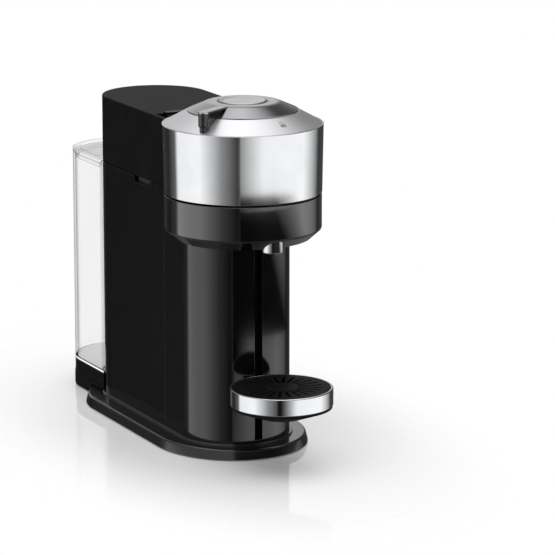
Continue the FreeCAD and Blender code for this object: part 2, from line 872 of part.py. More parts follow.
def make_guide_rail():
    ends = ("base_height + slot_lift - rail_floor", f"{FLOOR_Z} - slot_drop + rail_floor")
    body = block("rail_block", ("-1 * rail_half_width", "rail_half_width"),
                 (f"{FRONT_Y} - {OVER}", f"{FRONT_Y} + tower_wall + rail_depth"), ends)
    fitted = overlap("rail_fitted", body,
                     tower_prism("rail_limit", f"{INNER_R} - press_gap", PAN_TOP, SEAM_Z))
    heights = ("base_height + slot_lift", f"{FLOOR_Z} - slot_drop")
    channel = block("rail_channel", ("-1 * channel_half", "channel_half"),
                    (f"{FRONT_Y} + tower_wall + rail_lip",
                     f"{FRONT_Y} + tower_wall + rail_depth - rail_floor"), heights)
    mouth = block("rail_mouth", ("-1 * slot_width / 2", "slot_width / 2"),
                  (f"{FRONT_Y} - {OVER}", f"{FRONT_Y} + tower_wall + rail_lip + {OVER}"), heights)
    finished("guide_rail", cut("guide_rail", fitted, channel, mouth))


def make_chassis():
    half = f"({INNER_R} - chassis_side_gap)"
    back = f"({CHASSIS_Y} + chassis_thick)"
    wall = block("chassis_wall", (f"-1 * {half}", half), (CHASSIS_Y, back),
                 (PAN_TOP, f"{SEAM_Z} - bracket_sink"))
    shelf = tower_prism("chassis_shelf_whole", half, f"{SHELF_TOP} - shelf_thick", SHELF_TOP)
    behind = block("chassis_behind", ("-1 * tower_radius", "tower_radius"),
                   (CHASSIS_Y, "tower_rear_y + tower_radius"),
                   (f"{SHELF_TOP} - shelf_thick - {OVER}", f"{SHELF_TOP} + {OVER}"))
    foot = block("chassis_foot", (f"-1 * {half} + chassis_foot_inset", f"{half} - chassis_foot_inset"),
                 (f"{CHASSIS_Y} - chassis_foot_depth", back),
                 (PAN_TOP, f"{PAN_TOP} + chassis_thick"))
    frame = join("chassis_frame", wall, overlap("chassis_shelf", shelf, behind), foot)
    hose_hole = cylinder("chassis_hose_hole", "hose_hole", f"chassis_thick + 2 * {OVER}",
                         x="heater_x + heater_port_spread",
                         y=f"{CHASSIS_Y} - {OVER}", z=heater_port_height(), axis="Y")
    finished("chassis", cut("chassis", frame, hose_hole))


def make_cord_gland():
    end = "(gland_length + gland_flange_thick)"
    corners = [("gland_bore", "0"), ("gland_radius", "0"), ("gland_radius", "gland_length"),
               ("gland_radius + gland_flange", "gland_length"), ("gland_radius + gland_flange", end),
               ("gland_bore", end)]
    finished("cord_gland", turned("cord_gland", corners, "tower_radius - gland_length", "gland_y",
                                  f"{PAN_TOP} + gland_height", "X"))


# Fixed lower head


def make_lower_head():
    inner = f"({RING_R} - ring_wall)"
    corners = under_profile("0") + [
        (RING_R, RING_TOP, "ring_edge"),
        (inner, RING_TOP),
        (inner, f"{RING_Z} + floor_thick / 2"),
        (f"{UNDER_STEP_R} - slope_shift", f"{FLOOR_TOP} + under_step_height"),
        (f"{UNDER_FLAT_R} - slope_shift", FLOOR_TOP),
        ("0", FLOOR_TOP),
    ]
    shell = head_turned("ring_shell", corners)
    spout_hole = cylinder("ring_spout_hole", "spout_radius + seat_gap",
                          f"{TROUGH_Z} - {FLOOR_Z} + {OVER}", y=SPOUT_Y, z=f"{FLOOR_Z} - {OVER}")
    shaft_hole = cylinder("ring_shaft_hole", "motor_shaft + shaft_room", f"floor_thick + 2 * {OVER}",
                          y=MOTOR_Y, z=f"{FLOOR_Z} - {OVER}")
    finished("lower_head_shell", cut("lower_head_shell", shell, spout_hole, shaft_hole))
    finished("head_deck", ring("head_deck", "deck_hole", f"{inner} - press_gap", DECK_Z,
                               f"{DECK_Z} + deck_thick", HEAD_Y))


def make_collector():
    top_floor = f"({TROUGH_Z} + trough_floor)"
    weir = f"({HOLDER_TOP} - holder_rim_thick - trough_weir)"
    corners = [("trough_inner", TROUGH_Z), (TROUGH_R, TROUGH_Z), (TROUGH_R, TROUGH_TOP),
               (f"{TROUGH_R} - trough_wall", TROUGH_TOP), (f"{TROUGH_R} - trough_wall", top_floor),
               ("trough_inner + trough_wall", top_floor), ("trough_inner + trough_wall", weir),
               ("trough_inner", weir)]
    duct = block("trough_duct", ("-1 * duct_half_width", "duct_half_width"),
                 (f"{SPOUT_Y} - duct_half_width + trough_wall", f"{HEAD_Y} - {TROUGH_R} + trough_wall"),
                 (TROUGH_Z, f"{TROUGH_Z} + duct_height"))
    inside = block("trough_duct_inside", ("-1 * duct_half_width + trough_wall",
                                          "duct_half_width - trough_wall"),
                   (f"{SPOUT_Y} - duct_half_width + 2 * trough_wall",
                    f"{HEAD_Y} - {TROUGH_R} + 3 * trough_wall"),
                   (top_floor, f"{TROUGH_Z} + duct_height - trough_wall"))
    drain = cylinder("trough_drain", "spout_bore", f"trough_floor + 2 * {OVER}", y=SPOUT_Y,
                     z=f"{TROUGH_Z} - {OVER}")
    trough = join("trough_whole", head_turned("trough_ring", corners), duct)
    finished("coffee_collector", cut("coffee_collector", trough, inside, drain))


def make_spout():
    bottom = f"({FLOOR_Z} - spout_drop)"
    top = f"({TROUGH_Z} - seat_gap)"
    corners = [("spout_bore", bottom), ("spout_radius", bottom, "spout_round"), ("spout_radius", top),
               ("spout_bore", top)]
    finished("coffee_spout", turned("coffee_spout", corners, y=SPOUT_Y))


def make_code_reader():
    near = f"({TROUGH_R} + reader_gap)"
    body = block("code_reader", (near, f"{near} + reader_depth"), (f"{HEAD_Y} - reader_width / 2",
                 f"{HEAD_Y} + reader_width / 2"), (f"{DECK_Z} - reader_height", DECK_Z))
    finished("code_reader", body)


def make_capsule_holder():
    low = f"({FLOOR_TOP} + run_gap)"
    rim_low = f"({HOLDER_TOP} - holder_rim_thick)"
    cup_floor = f"({HOLDER_TOP} - holder_depth)"
    cup_low = f"({cup_floor} - holder_floor)"
    outer = "(holder_inner + holder_wall)"
    corners = [("0", low), ("spindle_radius", low), ("spindle_radius", PULLEY_Z),
               ("pulley_radius", PULLEY_Z), ("pulley_radius", f"{PULLEY_Z} + pulley_height"),
               ("spindle_radius", f"{PULLEY_Z} + pulley_height"), ("spindle_radius", cup_low),
               (outer, cup_low, "holder_wall"), (outer, rim_low), ("holder_rim", rim_low),
               ("holder_rim", HOLDER_TOP), ("holder_inner", HOLDER_TOP),
               ("holder_inner", cup_floor, "holder_wall"), ("0", cup_floor)]
    finished("capsule_holder", head_turned("capsule_holder", corners))
    bore = "(spindle_radius + pin_gap)"
    finished("holder_bush", ring("holder_bush", bore, f"{bore} + bush_wall", FLOOR_TOP,
                                 f"{FLOOR_TOP} + bush_height", HEAD_Y))


def loop_face(big, small):
    """A flat belt outline round both pulleys."""
    span = num(MOTOR_OFFSET)
    lean = math.asin((big - small) / span)
    ahead = Vector(0, num(HEAD_Y), 0)
    behind = Vector(0, num(MOTOR_Y), 0)
    out = Vector(math.cos(lean), math.sin(lean), 0)
    over = Vector(-out.x, out.y, 0)
    edges = [
        Part.Arc(ahead + over * big, ahead - Vector(0, big, 0), ahead + out * big).toShape(),
        Part.LineSegment(ahead + out * big, behind + out * small).toShape(),
        Part.Arc(behind + out * small, behind + Vector(0, small, 0), behind + over * small).toShape(),
        Part.LineSegment(behind + over * small, ahead + over * big).toShape(),
    ]
    return Part.Face(Part.Wire(edges))


def make_drive_belt():
    gap = num("run_gap")
    thick = num("belt_thick")
    big = num("pulley_radius") + gap
    small = num("motor_pulley_radius") + gap
    belt = doc.addObject("Part::Feature", "drive_belt")
    outline = loop_face(big + thick, small + thick).cut(loop_face(big, small))
    belt.Shape = outline.extrude(Vector(0, 0, num("belt_height")))
    place(belt, z=BELT_Z)
    finished("drive_belt", belt)


def make_motor():
    shaft_low = f"({FLOOR_Z} - motor_shaft_depth)"
    can_low = f"({FLOOR_Z} - motor_length)"
    bore = "(motor_shaft + pin_gap)"
    can = [("0", can_low), ("motor_radius", can_low, "motor_round"), ("motor_radius", FLOOR_Z),
           (bore, FLOOR_Z),
           (bore, f"{shaft_low} - run_gap"), ("0", f"{shaft_low} - run_gap")]
    finished("brew_motor", turned("brew_motor", can, y=MOTOR_Y))
    low = f"({PULLEY_Z} + (pulley_height - belt_height) / 4)"
    top = f"({PULLEY_Z} + pulley_height)"
    wheel = [("0", shaft_low), ("motor_shaft", shaft_low), ("motor_shaft", low),
             ("motor_pulley_radius", low),
             ("motor_pulley_radius", top), ("0", top)]
    finished("motor_pulley", turned("motor_pulley", wheel, y=MOTOR_Y))


# Moving head


def make_head_band():
    corners = [(BAND_INNER, BAND_Z), ("head_radius - band_taper", BAND_Z, "band_round / 2"),
               ("head_radius", BAND_TOP, "band_round"), (BAND_INNER, BAND_TOP)]
    band = head_turned("band_tube", corners)
    # A used capsule leaves by an opening between two planes through the axis.
    window = cylinder("band_window", f"head_radius + {OVER}", f"band_height - window_bridge + {OVER}",
                      y=HEAD_Y, z=f"{BAND_Z} - {OVER}")
    half_angle = f"asin(({LUG_END} + window_margin) / {BAND_INNER})"
    bind(window, {"Angle": f"2 * {half_angle}"})
    window.Placement.Rotation = Rotation(Vector(0, 0, 1), 90 - num(half_angle))
    finished("head_band", cut("head_band", band, window))


def make_shoulder():
    drop = "shoulder_wall"
    corners = [("head_radius - band_round", f"{BAND_TOP} + press_gap"), ("shoulder_radius", SHOULDER_TOP),
               ("shoulder_radius - shoulder_lip", SHOULDER_TOP),
               ("shoulder_radius - shoulder_lip", f"{SHOULDER_TOP} - {drop}"),
               (f"shoulder_radius - {drop} / 2", f"{SHOULDER_TOP} - {drop}"),
               (f"head_radius - band_round - 2 * {drop}", f"{BAND_TOP} + press_gap")]
    finished("shoulder_ring", head_turned("shoulder_ring", corners))


def make_head_liner():
    low = f"({BAND_Z} + liner_lift)"
    top = f"({low} + liner_thick)"
    plate = ring("liner_plate", "liner_hole", f"{BAND_INNER} - frame_gap", low, top, HEAD_Y)
    window = block("liner_window", ("-1 * window_half_width", "window_half_width"),
                   (f"{HEAD_Y} + liner_hole / 2", f"{HEAD_Y} + head_radius"),
                   (f"{low} - {OVER}", f"{top} + {OVER}"))
    finished("head_liner", cut("head_liner", plate, window))


def hinge_rod(name, sign, radius, near, far):
    """A round along the hinge axis on one side."""
    start = near if sign == "1" else f"-1 * ({far})"
    return cylinder(name, radius, f"({far}) - ({near})", start, HINGE_Y, HINGE_Z, "X")


def make_head_frame():
    edge = f"({BAND_INNER} - frame_gap)"
    corners = [("frame_hole", FRAME_Z), (edge, FRAME_Z), (edge, FRAME_TOP), ("boss_radius", FRAME_TOP),
               ("boss_radius", BOSS_TOP), ("boss_bore", BOSS_TOP), ("boss_bore", BOARD_Z),
               ("boss_bore - board_step", BOARD_Z), ("boss_bore - board_step", FRAME_TOP),
               ("frame_hole", FRAME_TOP)]

    def lug(name, sign):
        arm = side_block(name + "_arm", sign, LUG_INNER, LUG_END,
                         (f"{HINGE_Y} - hinge_back - lug_root", HINGE_Y),
                         (f"{FRAME_Z} - lug_sink", f"{FRAME_Z} - lug_sink + lug_height"))
        knuckle = hinge_rod(name + "_knuckle", sign, "knuckle_radius", LUG_INNER, LUG_END)
        return join(name, arm, knuckle)

    def bore(name, sign):
        return hinge_rod(name, sign, "pin_radius + pin_gap", f"{LUG_INNER} - {OVER}", f"{LUG_END} + {OVER}")

    whole = join("frame_whole", head_turned("frame_plate", corners), *mirrored_pair("frame_lug", lug))
    feed_hole = cylinder("frame_feed_hole", "feed_radius + frame_gap", "boss_radius", y=HEAD_Y, z=HINGE_Z,
                         axis="Y")
    finished("head_frame", cut("head_frame", whole, feed_hole, *mirrored_pair("frame_bore", bore)))


def make_hinge():
    low = f"({SEAM_Z} - bracket_sink)"
    cover_low = f"({HINGE_Z} + knuckle_radius + run_gap)"
    cover_top = f"({cover_low} + cover_thick)"
    depth = (f"{HINGE_Y} - cheek_half_depth", f"{HINGE_Y} + cheek_half_depth")
    sill = block("bracket_sill", (f"-1 * {CHEEK_END}", CHEEK_END),
                 (f"{HINGE_Y} - sill_front", f"{CHASSIS_Y} + chassis_thick"),
                 (low, f"{low} + bracket_thick"))

    def cheek(name, sign):
        plate = side_block(name + "_plate", sign, CHEEK_X, CHEEK_END, depth, (low, HINGE_Z))
        return join(name, plate, hinge_rod(name + "_top", sign, "knuckle_radius", CHEEK_X, CHEEK_END))

    def bore(name, sign):
        return hinge_rod(name, sign, "pin_radius + press_gap", f"{CHEEK_X} - {OVER}",
                         f"{CHEEK_END} + {OVER}")

    def pin(name, sign):
        solid = hinge_rod(name + "_solid", sign, "pin_radius", f"{LUG_INNER} - pin_tail", CHEEK_END)
        way = hinge_rod(name + "_water", sign, "pin_bore", f"{LUG_INNER} - pin_tail - {OVER}",
                        f"{CHEEK_END} + {OVER}")
        return cut(name, solid, way)

    def cover_post(name, sign):
        return side_block(name, sign, CHEEK_X, CHEEK_END, (HINGE_Y, f"{HINGE_Y} + cheek_half_depth"),
                          (HINGE_Z, cover_top))

    cover = block("bracket_cover", (f"-1 * {CHEEK_END}", CHEEK_END),
                  (HINGE_Y, f"{HINGE_Y} + cover_depth"),
                  (cover_low, cover_top))
    whole = join("bracket_whole", sill, cover, *mirrored_pair("bracket_cheek", cheek),
                 *mirrored_pair("bracket_post", cover_post))
    finished("hinge_bracket", cut("hinge_bracket", whole, *mirrored_pair("bracket_bore", bore)))
    finished("hinge_pins", group("hinge_pins", *mirrored_pair("hinge_pin", pin)))
    length = "(pin_tail - 4 * spring_wire)"
    finished("head_spring", coil("head_spring", "pin_radius + 2 * spring_wire", "spring_wire",
                                 "spring_turns", length,
                                 f"-1 * {LUG_INNER} + 2 * spring_wire", HINGE_Y, HINGE_Z, "X"))


def make_clamp():
    bore = "(needle_radius + needle_gap)"
    disc_low = f"({CLAMP_Z} + clamp_skirt)"
    top = f"({CLAMP_TOP} + clamp_shaft_length)"
    skirt_in = "(clamp_radius - clamp_skirt_wall)"
    corners = [(bore, disc_low), (skirt_in, disc_low), (skirt_in, CLAMP_Z), ("clamp_radius", CLAMP_Z),
               ("clamp_radius", CLAMP_TOP, "clamp_round"), ("clamp_shaft", CLAMP_TOP),
               ("clamp_shaft", top), (bore, top)]
    finished("clamp_rotor", head_turned("clamp_rotor", corners))
    finished("clamp_seal", ring("clamp_seal", f"{skirt_in} - seal_overhang", "clamp_radius - seal_inset",
                                f"{CLAMP_Z} - seal_thick",
                                CLAMP_Z, HEAD_Y))
    sleeve_in = "(clamp_shaft + pin_gap)"
    sleeve_out = f"({sleeve_in} + clamp_bush_wall)"
    low = f"({FRAME_Z} - clamp_bush_length)"
    flange_low = f"({FRAME_Z} - clamp_flange_thick)"
    flange_r = f"({sleeve_out} + clamp_bush_flange)"
    sleeve = [(sleeve_in, low), (sleeve_out, low), (sleeve_out, flange_low), (flange_r, flange_low),
              (flange_r, FRAME_Z), (sleeve_in, FRAME_Z)]
    finished("clamp_bush", head_turned("clamp_bush", sleeve))
    tip = f"({CLAMP_Z} - needle_reach)"
    head_low = f"({top} + run_gap)"
    head_r = "(frame_hole - 2 * pin_gap)"
    needle = [("needle_bore", tip), ("needle_radius", f"{tip} + needle_cone"),
              ("needle_radius", head_low), (head_r, head_low), (head_r, f"{FRAME_Z} + injector_head"),
              ("needle_bore", f"{FRAME_Z} + injector_head")]
    finished("injector", head_turned("injector", needle))


def make_feed_tube():
    start = (f"{LUG_INNER} - pin_tail - seat_gap", HINGE_Y, HINGE_Z)
    turn = ("0", HINGE_Y, HINGE_Z)
    end = ("0", f"{HEAD_Y} + frame_hole + seat_gap", HINGE_Z)
    finished("feed_tube", tube("feed_tube", [start, turn, end], "feed_radius", "feed_bend"))


def make_collar():
    under = f"({COLLAR_TOP} - collar_wall)"
    hub_in = "(boss_radius + seat_gap)"
    hub_out = f"({hub_in} + collar_hub_wall)"
    hub_low = f"({COLLAR_TOP} - hub_drop)"
    corners = [
        ("collar_radius", COLLAR_Z), ("collar_radius", f"{COLLAR_Z} + collar_edge"),
        ("collar_flat", COLLAR_TOP, "collar_round"), ("collar_bore", COLLAR_TOP), ("collar_bore", under),
        (hub_in, under), (hub_in, hub_low), (hub_out, hub_low), (hub_out, f"{under} - collar_wall"),
        ("collar_flat", f"{under} - collar_wall"), ("collar_radius - collar_wall", COLLAR_Z),
    ]
    finished("lever_collar", head_turned("lever_collar", corners))
    cam_low = f"({hub_low} - cam_height)"
    plate = ring("cam_plate", hub_in, "cam_radius", cam_low, hub_low, HEAD_Y)
    lobes = []
    for number in range(int(num("cam_lobes"))):
        angle = f"({number} * 360 / cam_lobes * 1 deg)"
        lobe_x = f"cam_radius * cos({angle})"
        lobe_y = f"{HEAD_Y} + cam_radius * sin({angle})"
        lobes.append(cylinder(f"cam_lobe_{number}", "cam_lobe_radius", "cam_height", lobe_x, lobe_y,
                              cam_low))
    finished("lock_cam", join("lock_cam", plate, *lobes))


def collar_space(name):
    """The room of the shoulder and the collar under the lever."""
    bottom = f"({BAND_TOP} - 2 * {OVER})"
    edge = f"({BAND_TOP} + lever_gap)"
    return head_turned(name, [
        ("0", bottom), (f"head_radius + {OVER}", bottom), (f"head_radius + {OVER}", edge),
        ("head_radius - band_round", edge), ("shoulder_radius", f"{SHOULDER_TOP} + lever_gap"),
        ("collar_radius", f"{SHOULDER_TOP} + lever_gap"), ("collar_radius", f"{COLLAR_Z} + collar_edge"),
        ("collar_flat", COLLAR_TOP), ("0", COLLAR_TOP),
    ])


def swung(name, solid):
    """Turn a lever solid from the machine's right to where the lever rests, front left."""
    turned_solid = doc.addObject("Part::Compound", name)
    turned_solid.Links = [solid]
    turned_solid.Placement.Rotation = Rotation(Vector(0, 0, 1), -90 - num("lever_angle"))
    bind(turned_solid, {"Placement.Base.y": HEAD_Y})
    return turned_solid


def lever_arm_shape(name, half, bottom, top):
    """A flat bar from the axis outwards with a round outer end."""
    bar = block(name + "_bar", ("collar_flat / 2", LEVER_X),
                (f"-1 * ({half})", half),
                (bottom, top))
    end = cylinder(name + "_end", half, f"({top}) - ({bottom})", LEVER_X, "0",
                   bottom)
    return join(name, bar, end)


def make_lever():
    cap_low = f"({COLLAR_TOP} - lever_cap_thick)"
    low = f"({BAND_TOP} - {OVER})"
    web = block("lever_web", ("collar_flat / 2", LEVER_X),
                ("-1 * lever_web_half", "lever_web_half"), (low, cap_low))
    paddle = cylinder("lever_paddle", "lever_half_width", f"{cap_low} - {BAND_TOP} - lever_half_width",
                      LEVER_X, "0", f"{BAND_TOP} + lever_half_width")
    foot = cylinder("lever_foot", "lever_foot_radius", f"{cap_low} - {low}",
                    LEVER_X, "0", low)
    arm = swung("lever_turned", join("lever_whole", web, paddle, foot))
    finished("lever_arm", cut("lever_arm", arm, collar_space("lever_space")))
    cap = swung("cap_turned", lever_arm_shape("cap", "lever_half_width", cap_low, COLLAR_TOP))
    finished("lever_cap", cut("lever_cap", cap, collar_space("cap_space")))


def make_button():
    low = f"({COLLAR_TOP} - button_skirt)"
    stem_low = f"({low} - button_stem_length)"
    corners = [("0", stem_low), ("button_stem", stem_low), ("button_stem", low), ("button_radius", low),
               ("button_radius", BUTTON_TOP, "button_rim / 2"),
               ("button_radius - button_rim", BUTTON_TOP),
               ("button_radius - 2 * button_rim", f"{BUTTON_TOP} - button_dish / 2"),
               ("0", f"{BUTTON_TOP} - button_dish")]
    finished("brew_button", head_turned("brew_button", corners))
    tube_in = "(button_radius + run_gap)"
    flange_top = f"({BOSS_TOP} + light_flange)"
    light = [(tube_in, BOSS_TOP), ("boss_radius", BOSS_TOP), ("boss_radius", flange_top),
             (f"{tube_in} + light_wall", flange_top), (f"{tube_in} + light_wall", COLLAR_TOP),
             (tube_in, COLLAR_TOP)]
    finished("button_light", head_turned("button_light", light))
    disc = cylinder("board_disc", "boss_bore - run_gap", "board_thick", y=HEAD_Y, z=BOARD_Z)
    top = f"({BOARD_Z} + board_thick)"
    switch = block("board_switch", ("-1 * switch_size / 2", "switch_size / 2"),
                   (f"{HEAD_Y} - switch_size / 2", f"{HEAD_Y} + switch_size / 2"),
                   (top, f"{top} + switch_height"))
    finished("button_board", join("button_board", disc, switch))


# Capsule bin


def make_bin():
    shell = tower_prism("bin_outside", "tower_radius", BIN_Z, BIN_TOP)
    round_rim(shell, f"{BIN_TOP} - {BIN_Z}", "bin_round")
    inside = tower_prism("bin_inside", "tower_radius - bin_wall", f"{BIN_Z} - {OVER}",
                         f"{BIN_TOP} - bin_top_wall")
    head_room = cylinder("bin_head_room", "head_radius + bin_clear", f"{BIN_TOP} - {BIN_Z} + 2 * {OVER}",
                         y=HEAD_Y, z=f"{BIN_Z} - {OVER}")
    recess_half = "(tower_radius - bin_recess_wall)"
    recess = block("bin_recess", (f"-1 * {recess_half}", recess_half),
                   (HEAD_Y, f"{BIN_FRONT} - bin_recess_gap"),
                   (f"{BIN_Z} - {OVER}", f"{BIN_TOP} + {OVER}"))
    finished("bin_cover", cut("bin_cover", shell, inside, head_room, recess))
    outer = f"({INNER_R} - bucket_inset)"
    bottom = f"({SHELF_TOP} + seat_gap)"
    top = f"({BIN_TOP} - bin_top_wall)"
    whole = tower_prism("bucket_whole", outer, bottom, top)
    hollow = tower_prism("bucket_hollow", f"{outer} - bucket_wall", f"{bottom} + bucket_wall",
                         f"{top} + {OVER}")
    sides = ("-1 * tower_radius", "tower_radius")
    wall_back = f"({BIN_FRONT} + bucket_wall)"
    ahead = block("bucket_ahead", sides, (FRONT_Y, BIN_FRONT),
                  (f"{bottom} - {OVER}", f"{top} + 2 * {OVER}"))
    ahead_inside = block("bucket_ahead_inside", sides, (FRONT_Y, wall_back),
                         (bottom, f"{top} + 2 * {OVER}"))
    sill = f"({RING_TOP} + bin_window_lift)"
    window = block("bucket_window", ("-1 * bin_window_half", "bin_window_half"),
                   (f"{BIN_FRONT} - {OVER}", f"{wall_back} + {OVER}"),
                   (sill, f"{sill} + bin_window_height"))
    bucket = cut("bucket_walls", whole, ahead, cut("bucket_room", hollow, ahead_inside))
    finished("capsule_bucket", cut("capsule_bucket", bucket, window))


# Water tank


def make_tank_seat():
    plug_r = f"({TANK_R} - tank_wall - seat_gap)"
    plug_bite = f"({BITE_R} + tank_wall + seat_gap)"
    plug = crescent("seat_plug", plug_r, plug_bite, f"seat_top - {OVER}", PLUG_TOP)
    flange = crescent("seat_flange", f"{TANK_R} + seat_flare", f"{BITE_R} - seat_flare", "foot_height",
                      "seat_top")
    base_room = tower_prism("seat_base_room", f"{BASE_R} + seat_gap", "0", "base_height + seat_gap")
    lip_room = tower_prism("seat_lip_room", "tower_radius + seam_gap + lip_width + seat_gap", "0",
                           "base_height + lip_height + seat_gap")
    socket = cylinder("seat_socket", "socket_radius", f"{PLUG_TOP} - {SOCKET_Z} + {OVER}", y=VALVE_Y,
                      z=SOCKET_Z)
    pipe = cylinder("seat_pipe", "inlet_radius + press_gap", f"{VALVE_Y} - tower_rear_y",
                    y="tower_rear_y", z=INLET_Z,
                    axis="Y")
    pocket = cylinder("seat_foot_pocket", "foot_radius + seat_gap", "foot_height + foot_sink", y=TANK_Y,
                      z="0")
    body = cut("seat_body", join("seat_whole", plug, flange), base_room, lip_room, socket, pipe, pocket)
    post = cylinder("seat_post", "post_radius", f"socket_post + {OVER}", y=VALVE_Y,
                    z=f"{SOCKET_Z} - {OVER}")
    finished("tank_seat", join("tank_seat", body, post))
    seal_low = f"({PLUG_TOP} - 2 * seal_height)"
    finished("seat_seal", ring("seat_seal", "cage_radius + seat_gap / 2", "socket_radius - press_gap",
                               seal_low,
                               f"{seal_low} + seal_height", VALVE_Y))


def make_water_tank():
    outside = crescent("tank_outside", TANK_R, BITE_R, TANK_Z, TANK_TOP)
    inner_r = f"({TANK_R} - tank_wall)"
    inner_bite = f"({BITE_R} + tank_wall)"
    room = crescent("tank_room", inner_r, inner_bite, TANK_FLOOR_TOP, f"{TANK_TOP} + {OVER}")
    under = crescent("tank_under", inner_r, inner_bite, f"{TANK_Z} - {OVER}", TANK_FLOOR_Z)
    hole = cylinder("tank_hole", "cage_radius + press_gap", f"tank_floor + 2 * {OVER}", y=VALVE_Y,
                    z=f"{TANK_FLOOR_Z} - {OVER}")
    tube_room = "(inlet_radius + 2 * seat_gap)"
    notch = block("tank_notch", (f"-1 * {tube_room}", tube_room),
                  (f"tower_rear_y + {BITE_R} - {OVER}", f"tower_rear_y + {inner_bite} + {OVER}"),
                  (f"{TANK_Z} - {OVER}", f"{INLET_Z} + {tube_room}"))
    finished("water_tank", cut("water_tank", outside, room, under, hole, notch))


def make_tank_lid():
    top = f"({LID_Z} + lid_height)"
    plate = crescent("lid_plate", TANK_R, BITE_R, LID_Z, top)
    recess = crescent("lid_recess_room", f"{TANK_R} - lid_rim", f"{BITE_R} + lid_rim",
                      f"{top} - lid_recess", f"{top} + {OVER}")
    rim_r = f"({TANK_R} - tank_wall - seat_gap)"
    rim_bite = f"({BITE_R} + tank_wall + seat_gap)"
    rim = crescent("lid_plug", rim_r, rim_bite, f"{LID_Z} - lid_plug_depth", f"{LID_Z} + {OVER}")
    hollow = crescent("lid_plug_room", f"{rim_r} - tank_wall", f"{rim_bite} + tank_wall",
                      f"{LID_Z} - lid_plug_depth - {OVER}", LID_Z)
    finished("tank_lid", cut("tank_lid", join("lid_whole", plate, rim), recess, hollow))


def make_valve():
    flange_top = f"({TANK_FLOOR_TOP} + cage_flange_thick)"
    cap_low = f"({CAGE_TOP} - cage_cap)"
    stem_hole = "(stem_radius + run_gap)"
    cage = [("cage_lip", CAGE_Z), ("cage_radius", CAGE_Z), ("cage_radius", TANK_FLOOR_TOP),
            ("cage_radius + cage_flange", TANK_FLOOR_TOP), ("cage_radius + cage_flange", flange_top),
            ("cage_radius", flange_top), ("cage_radius", CAGE_TOP), (stem_hole, CAGE_TOP),
            (stem_hole, cap_low), ("cage_bore", cap_low), ("cage_bore", f"{CAGE_Z} + cage_lip_height"),
            ("cage_lip", f"{CAGE_Z} + cage_lip_height")]
    tube_body = turned("cage_tube", cage, y=VALVE_Y)
    window = block("cage_window", (f"-1 * cage_radius - {OVER}", f"cage_radius + {OVER}"),
                   (f"{VALVE_Y} - stem_radius", f"{VALVE_Y} + stem_radius"),
                   (f"{flange_top} + seat_gap", f"{cap_low} - cage_window_gap"))
    finished("valve_cage", cut("valve_cage", tube_body, window))
    head_low = f"({CAGE_Z} + cage_lip_height + seat_gap)"
    head_top = f"({head_low} + valve_head_height)"
    plunger = [("0", STEM_Z), ("stem_radius", STEM_Z), ("stem_radius", head_low),
               ("valve_head", head_low), ("valve_head", head_top), ("stem_radius", head_top),
               ("stem_radius", f"{CAGE_TOP} + stem_top"), ("0", f"{CAGE_TOP} + stem_top")]
    finished("tank_valve", turned("tank_valve", plunger, y=VALVE_Y))
    ends = "(valve_spring_wire + seat_gap)"
    length = f"({cap_low} - {head_top} - 2 * {ends})"
    finished("valve_spring", coil("valve_spring", "valve_spring_radius", "valve_spring_wire",
                                  "valve_spring_turns",
                                  length, "0", VALVE_Y, f"{head_top} + {ends}", "Z"))


# Water and electric parts


def heater_port_height():
    return f"({PAN_TOP} + heater_leg + heater_height / 2)"


def make_water_parts():
    tower_back = "(tower_rear_y + tower_radius)"
    inlet_end = f"({tower_back} - inlet_inside)"
    inlet = cylinder("inlet_tube", "inlet_radius", f"{VALVE_Y} - socket_radius - {inlet_end}",
                     y=inlet_end, z=INLET_Z,
                     axis="Y")
    finished("inlet_tube", inlet)
    meter_y = f"({inlet_end} - meter_spigot - meter_radius)"
    drum = cylinder("meter_drum", "meter_radius", "meter_height", y=meter_y, z=PAN_TOP)
    meter_top = f"({PAN_TOP} + meter_height)"
    spigot_in = cylinder("meter_spigot_in", "inlet_radius", "meter_radius + meter_spigot", y=meter_y,
                         z=INLET_Z, axis="Y")
    spigot_out = cylinder("meter_spigot_out", "inlet_radius", "meter_height / 2 + meter_spigot",
                          y=meter_y,
                          z=f"{PAN_TOP} + meter_height / 2")
    finished("flow_meter", join("flow_meter", drum, spigot_in, spigot_out))
    pump_end = f"({PUMP_Y} + 2 * pump_end_length + pump_coil_length)"
    run = "(2 * pump_end_length + pump_coil_length)"
    nose = "pump_nipple_length"
    core = [("0", f"-1 * {nose}"), ("pump_nipple", f"-1 * {nose}"), ("pump_nipple", "0"),
            ("pump_end_radius", "0"), ("pump_end_radius", run), ("pump_nipple", run),
            ("pump_nipple", f"{run} + {nose}"), ("0", f"{run} + {nose}")]
    coil_box = block("pump_coil", ("pump_x - pump_coil_half", "pump_x + pump_coil_half"),
                     (f"{PUMP_Y} + pump_end_length", f"{PUMP_Y} + pump_end_length + pump_coil_length"),
                     ("pump_z - pump_coil_half", "pump_z + pump_coil_half"))
    finished("water_pump",
             join("water_pump", turned("pump_core", core, "pump_x", PUMP_Y, "pump_z", "Y"), coil_box))
    mounts = []
    for number, start in enumerate((f"{PUMP_Y} + pump_end_length / 4",
                                    f"{pump_end} - pump_end_length / 4 - mount_thick")):
        stand = block(f"mount_stand_{number}", ("pump_x - mount_half_width", "pump_x + mount_half_width"),
                      (start, f"{start} + mount_thick"), (PAN_TOP, "pump_z + mount_half_width"))
        hole = cylinder(f"mount_hole_{number}", "pump_end_radius + press_gap",
                        f"mount_thick + 2 * {OVER}", "pump_x", f"{start} - {OVER}",
                        "pump_z", "Y")
        mounts.append(cut(f"mount_{number}", stand, hole))
    finished("pump_mounts", group("pump_mounts", *mounts))
    make_heater()
    make_hoses(meter_y, f"({meter_top} + meter_spigot + seat_gap)", pump_end)


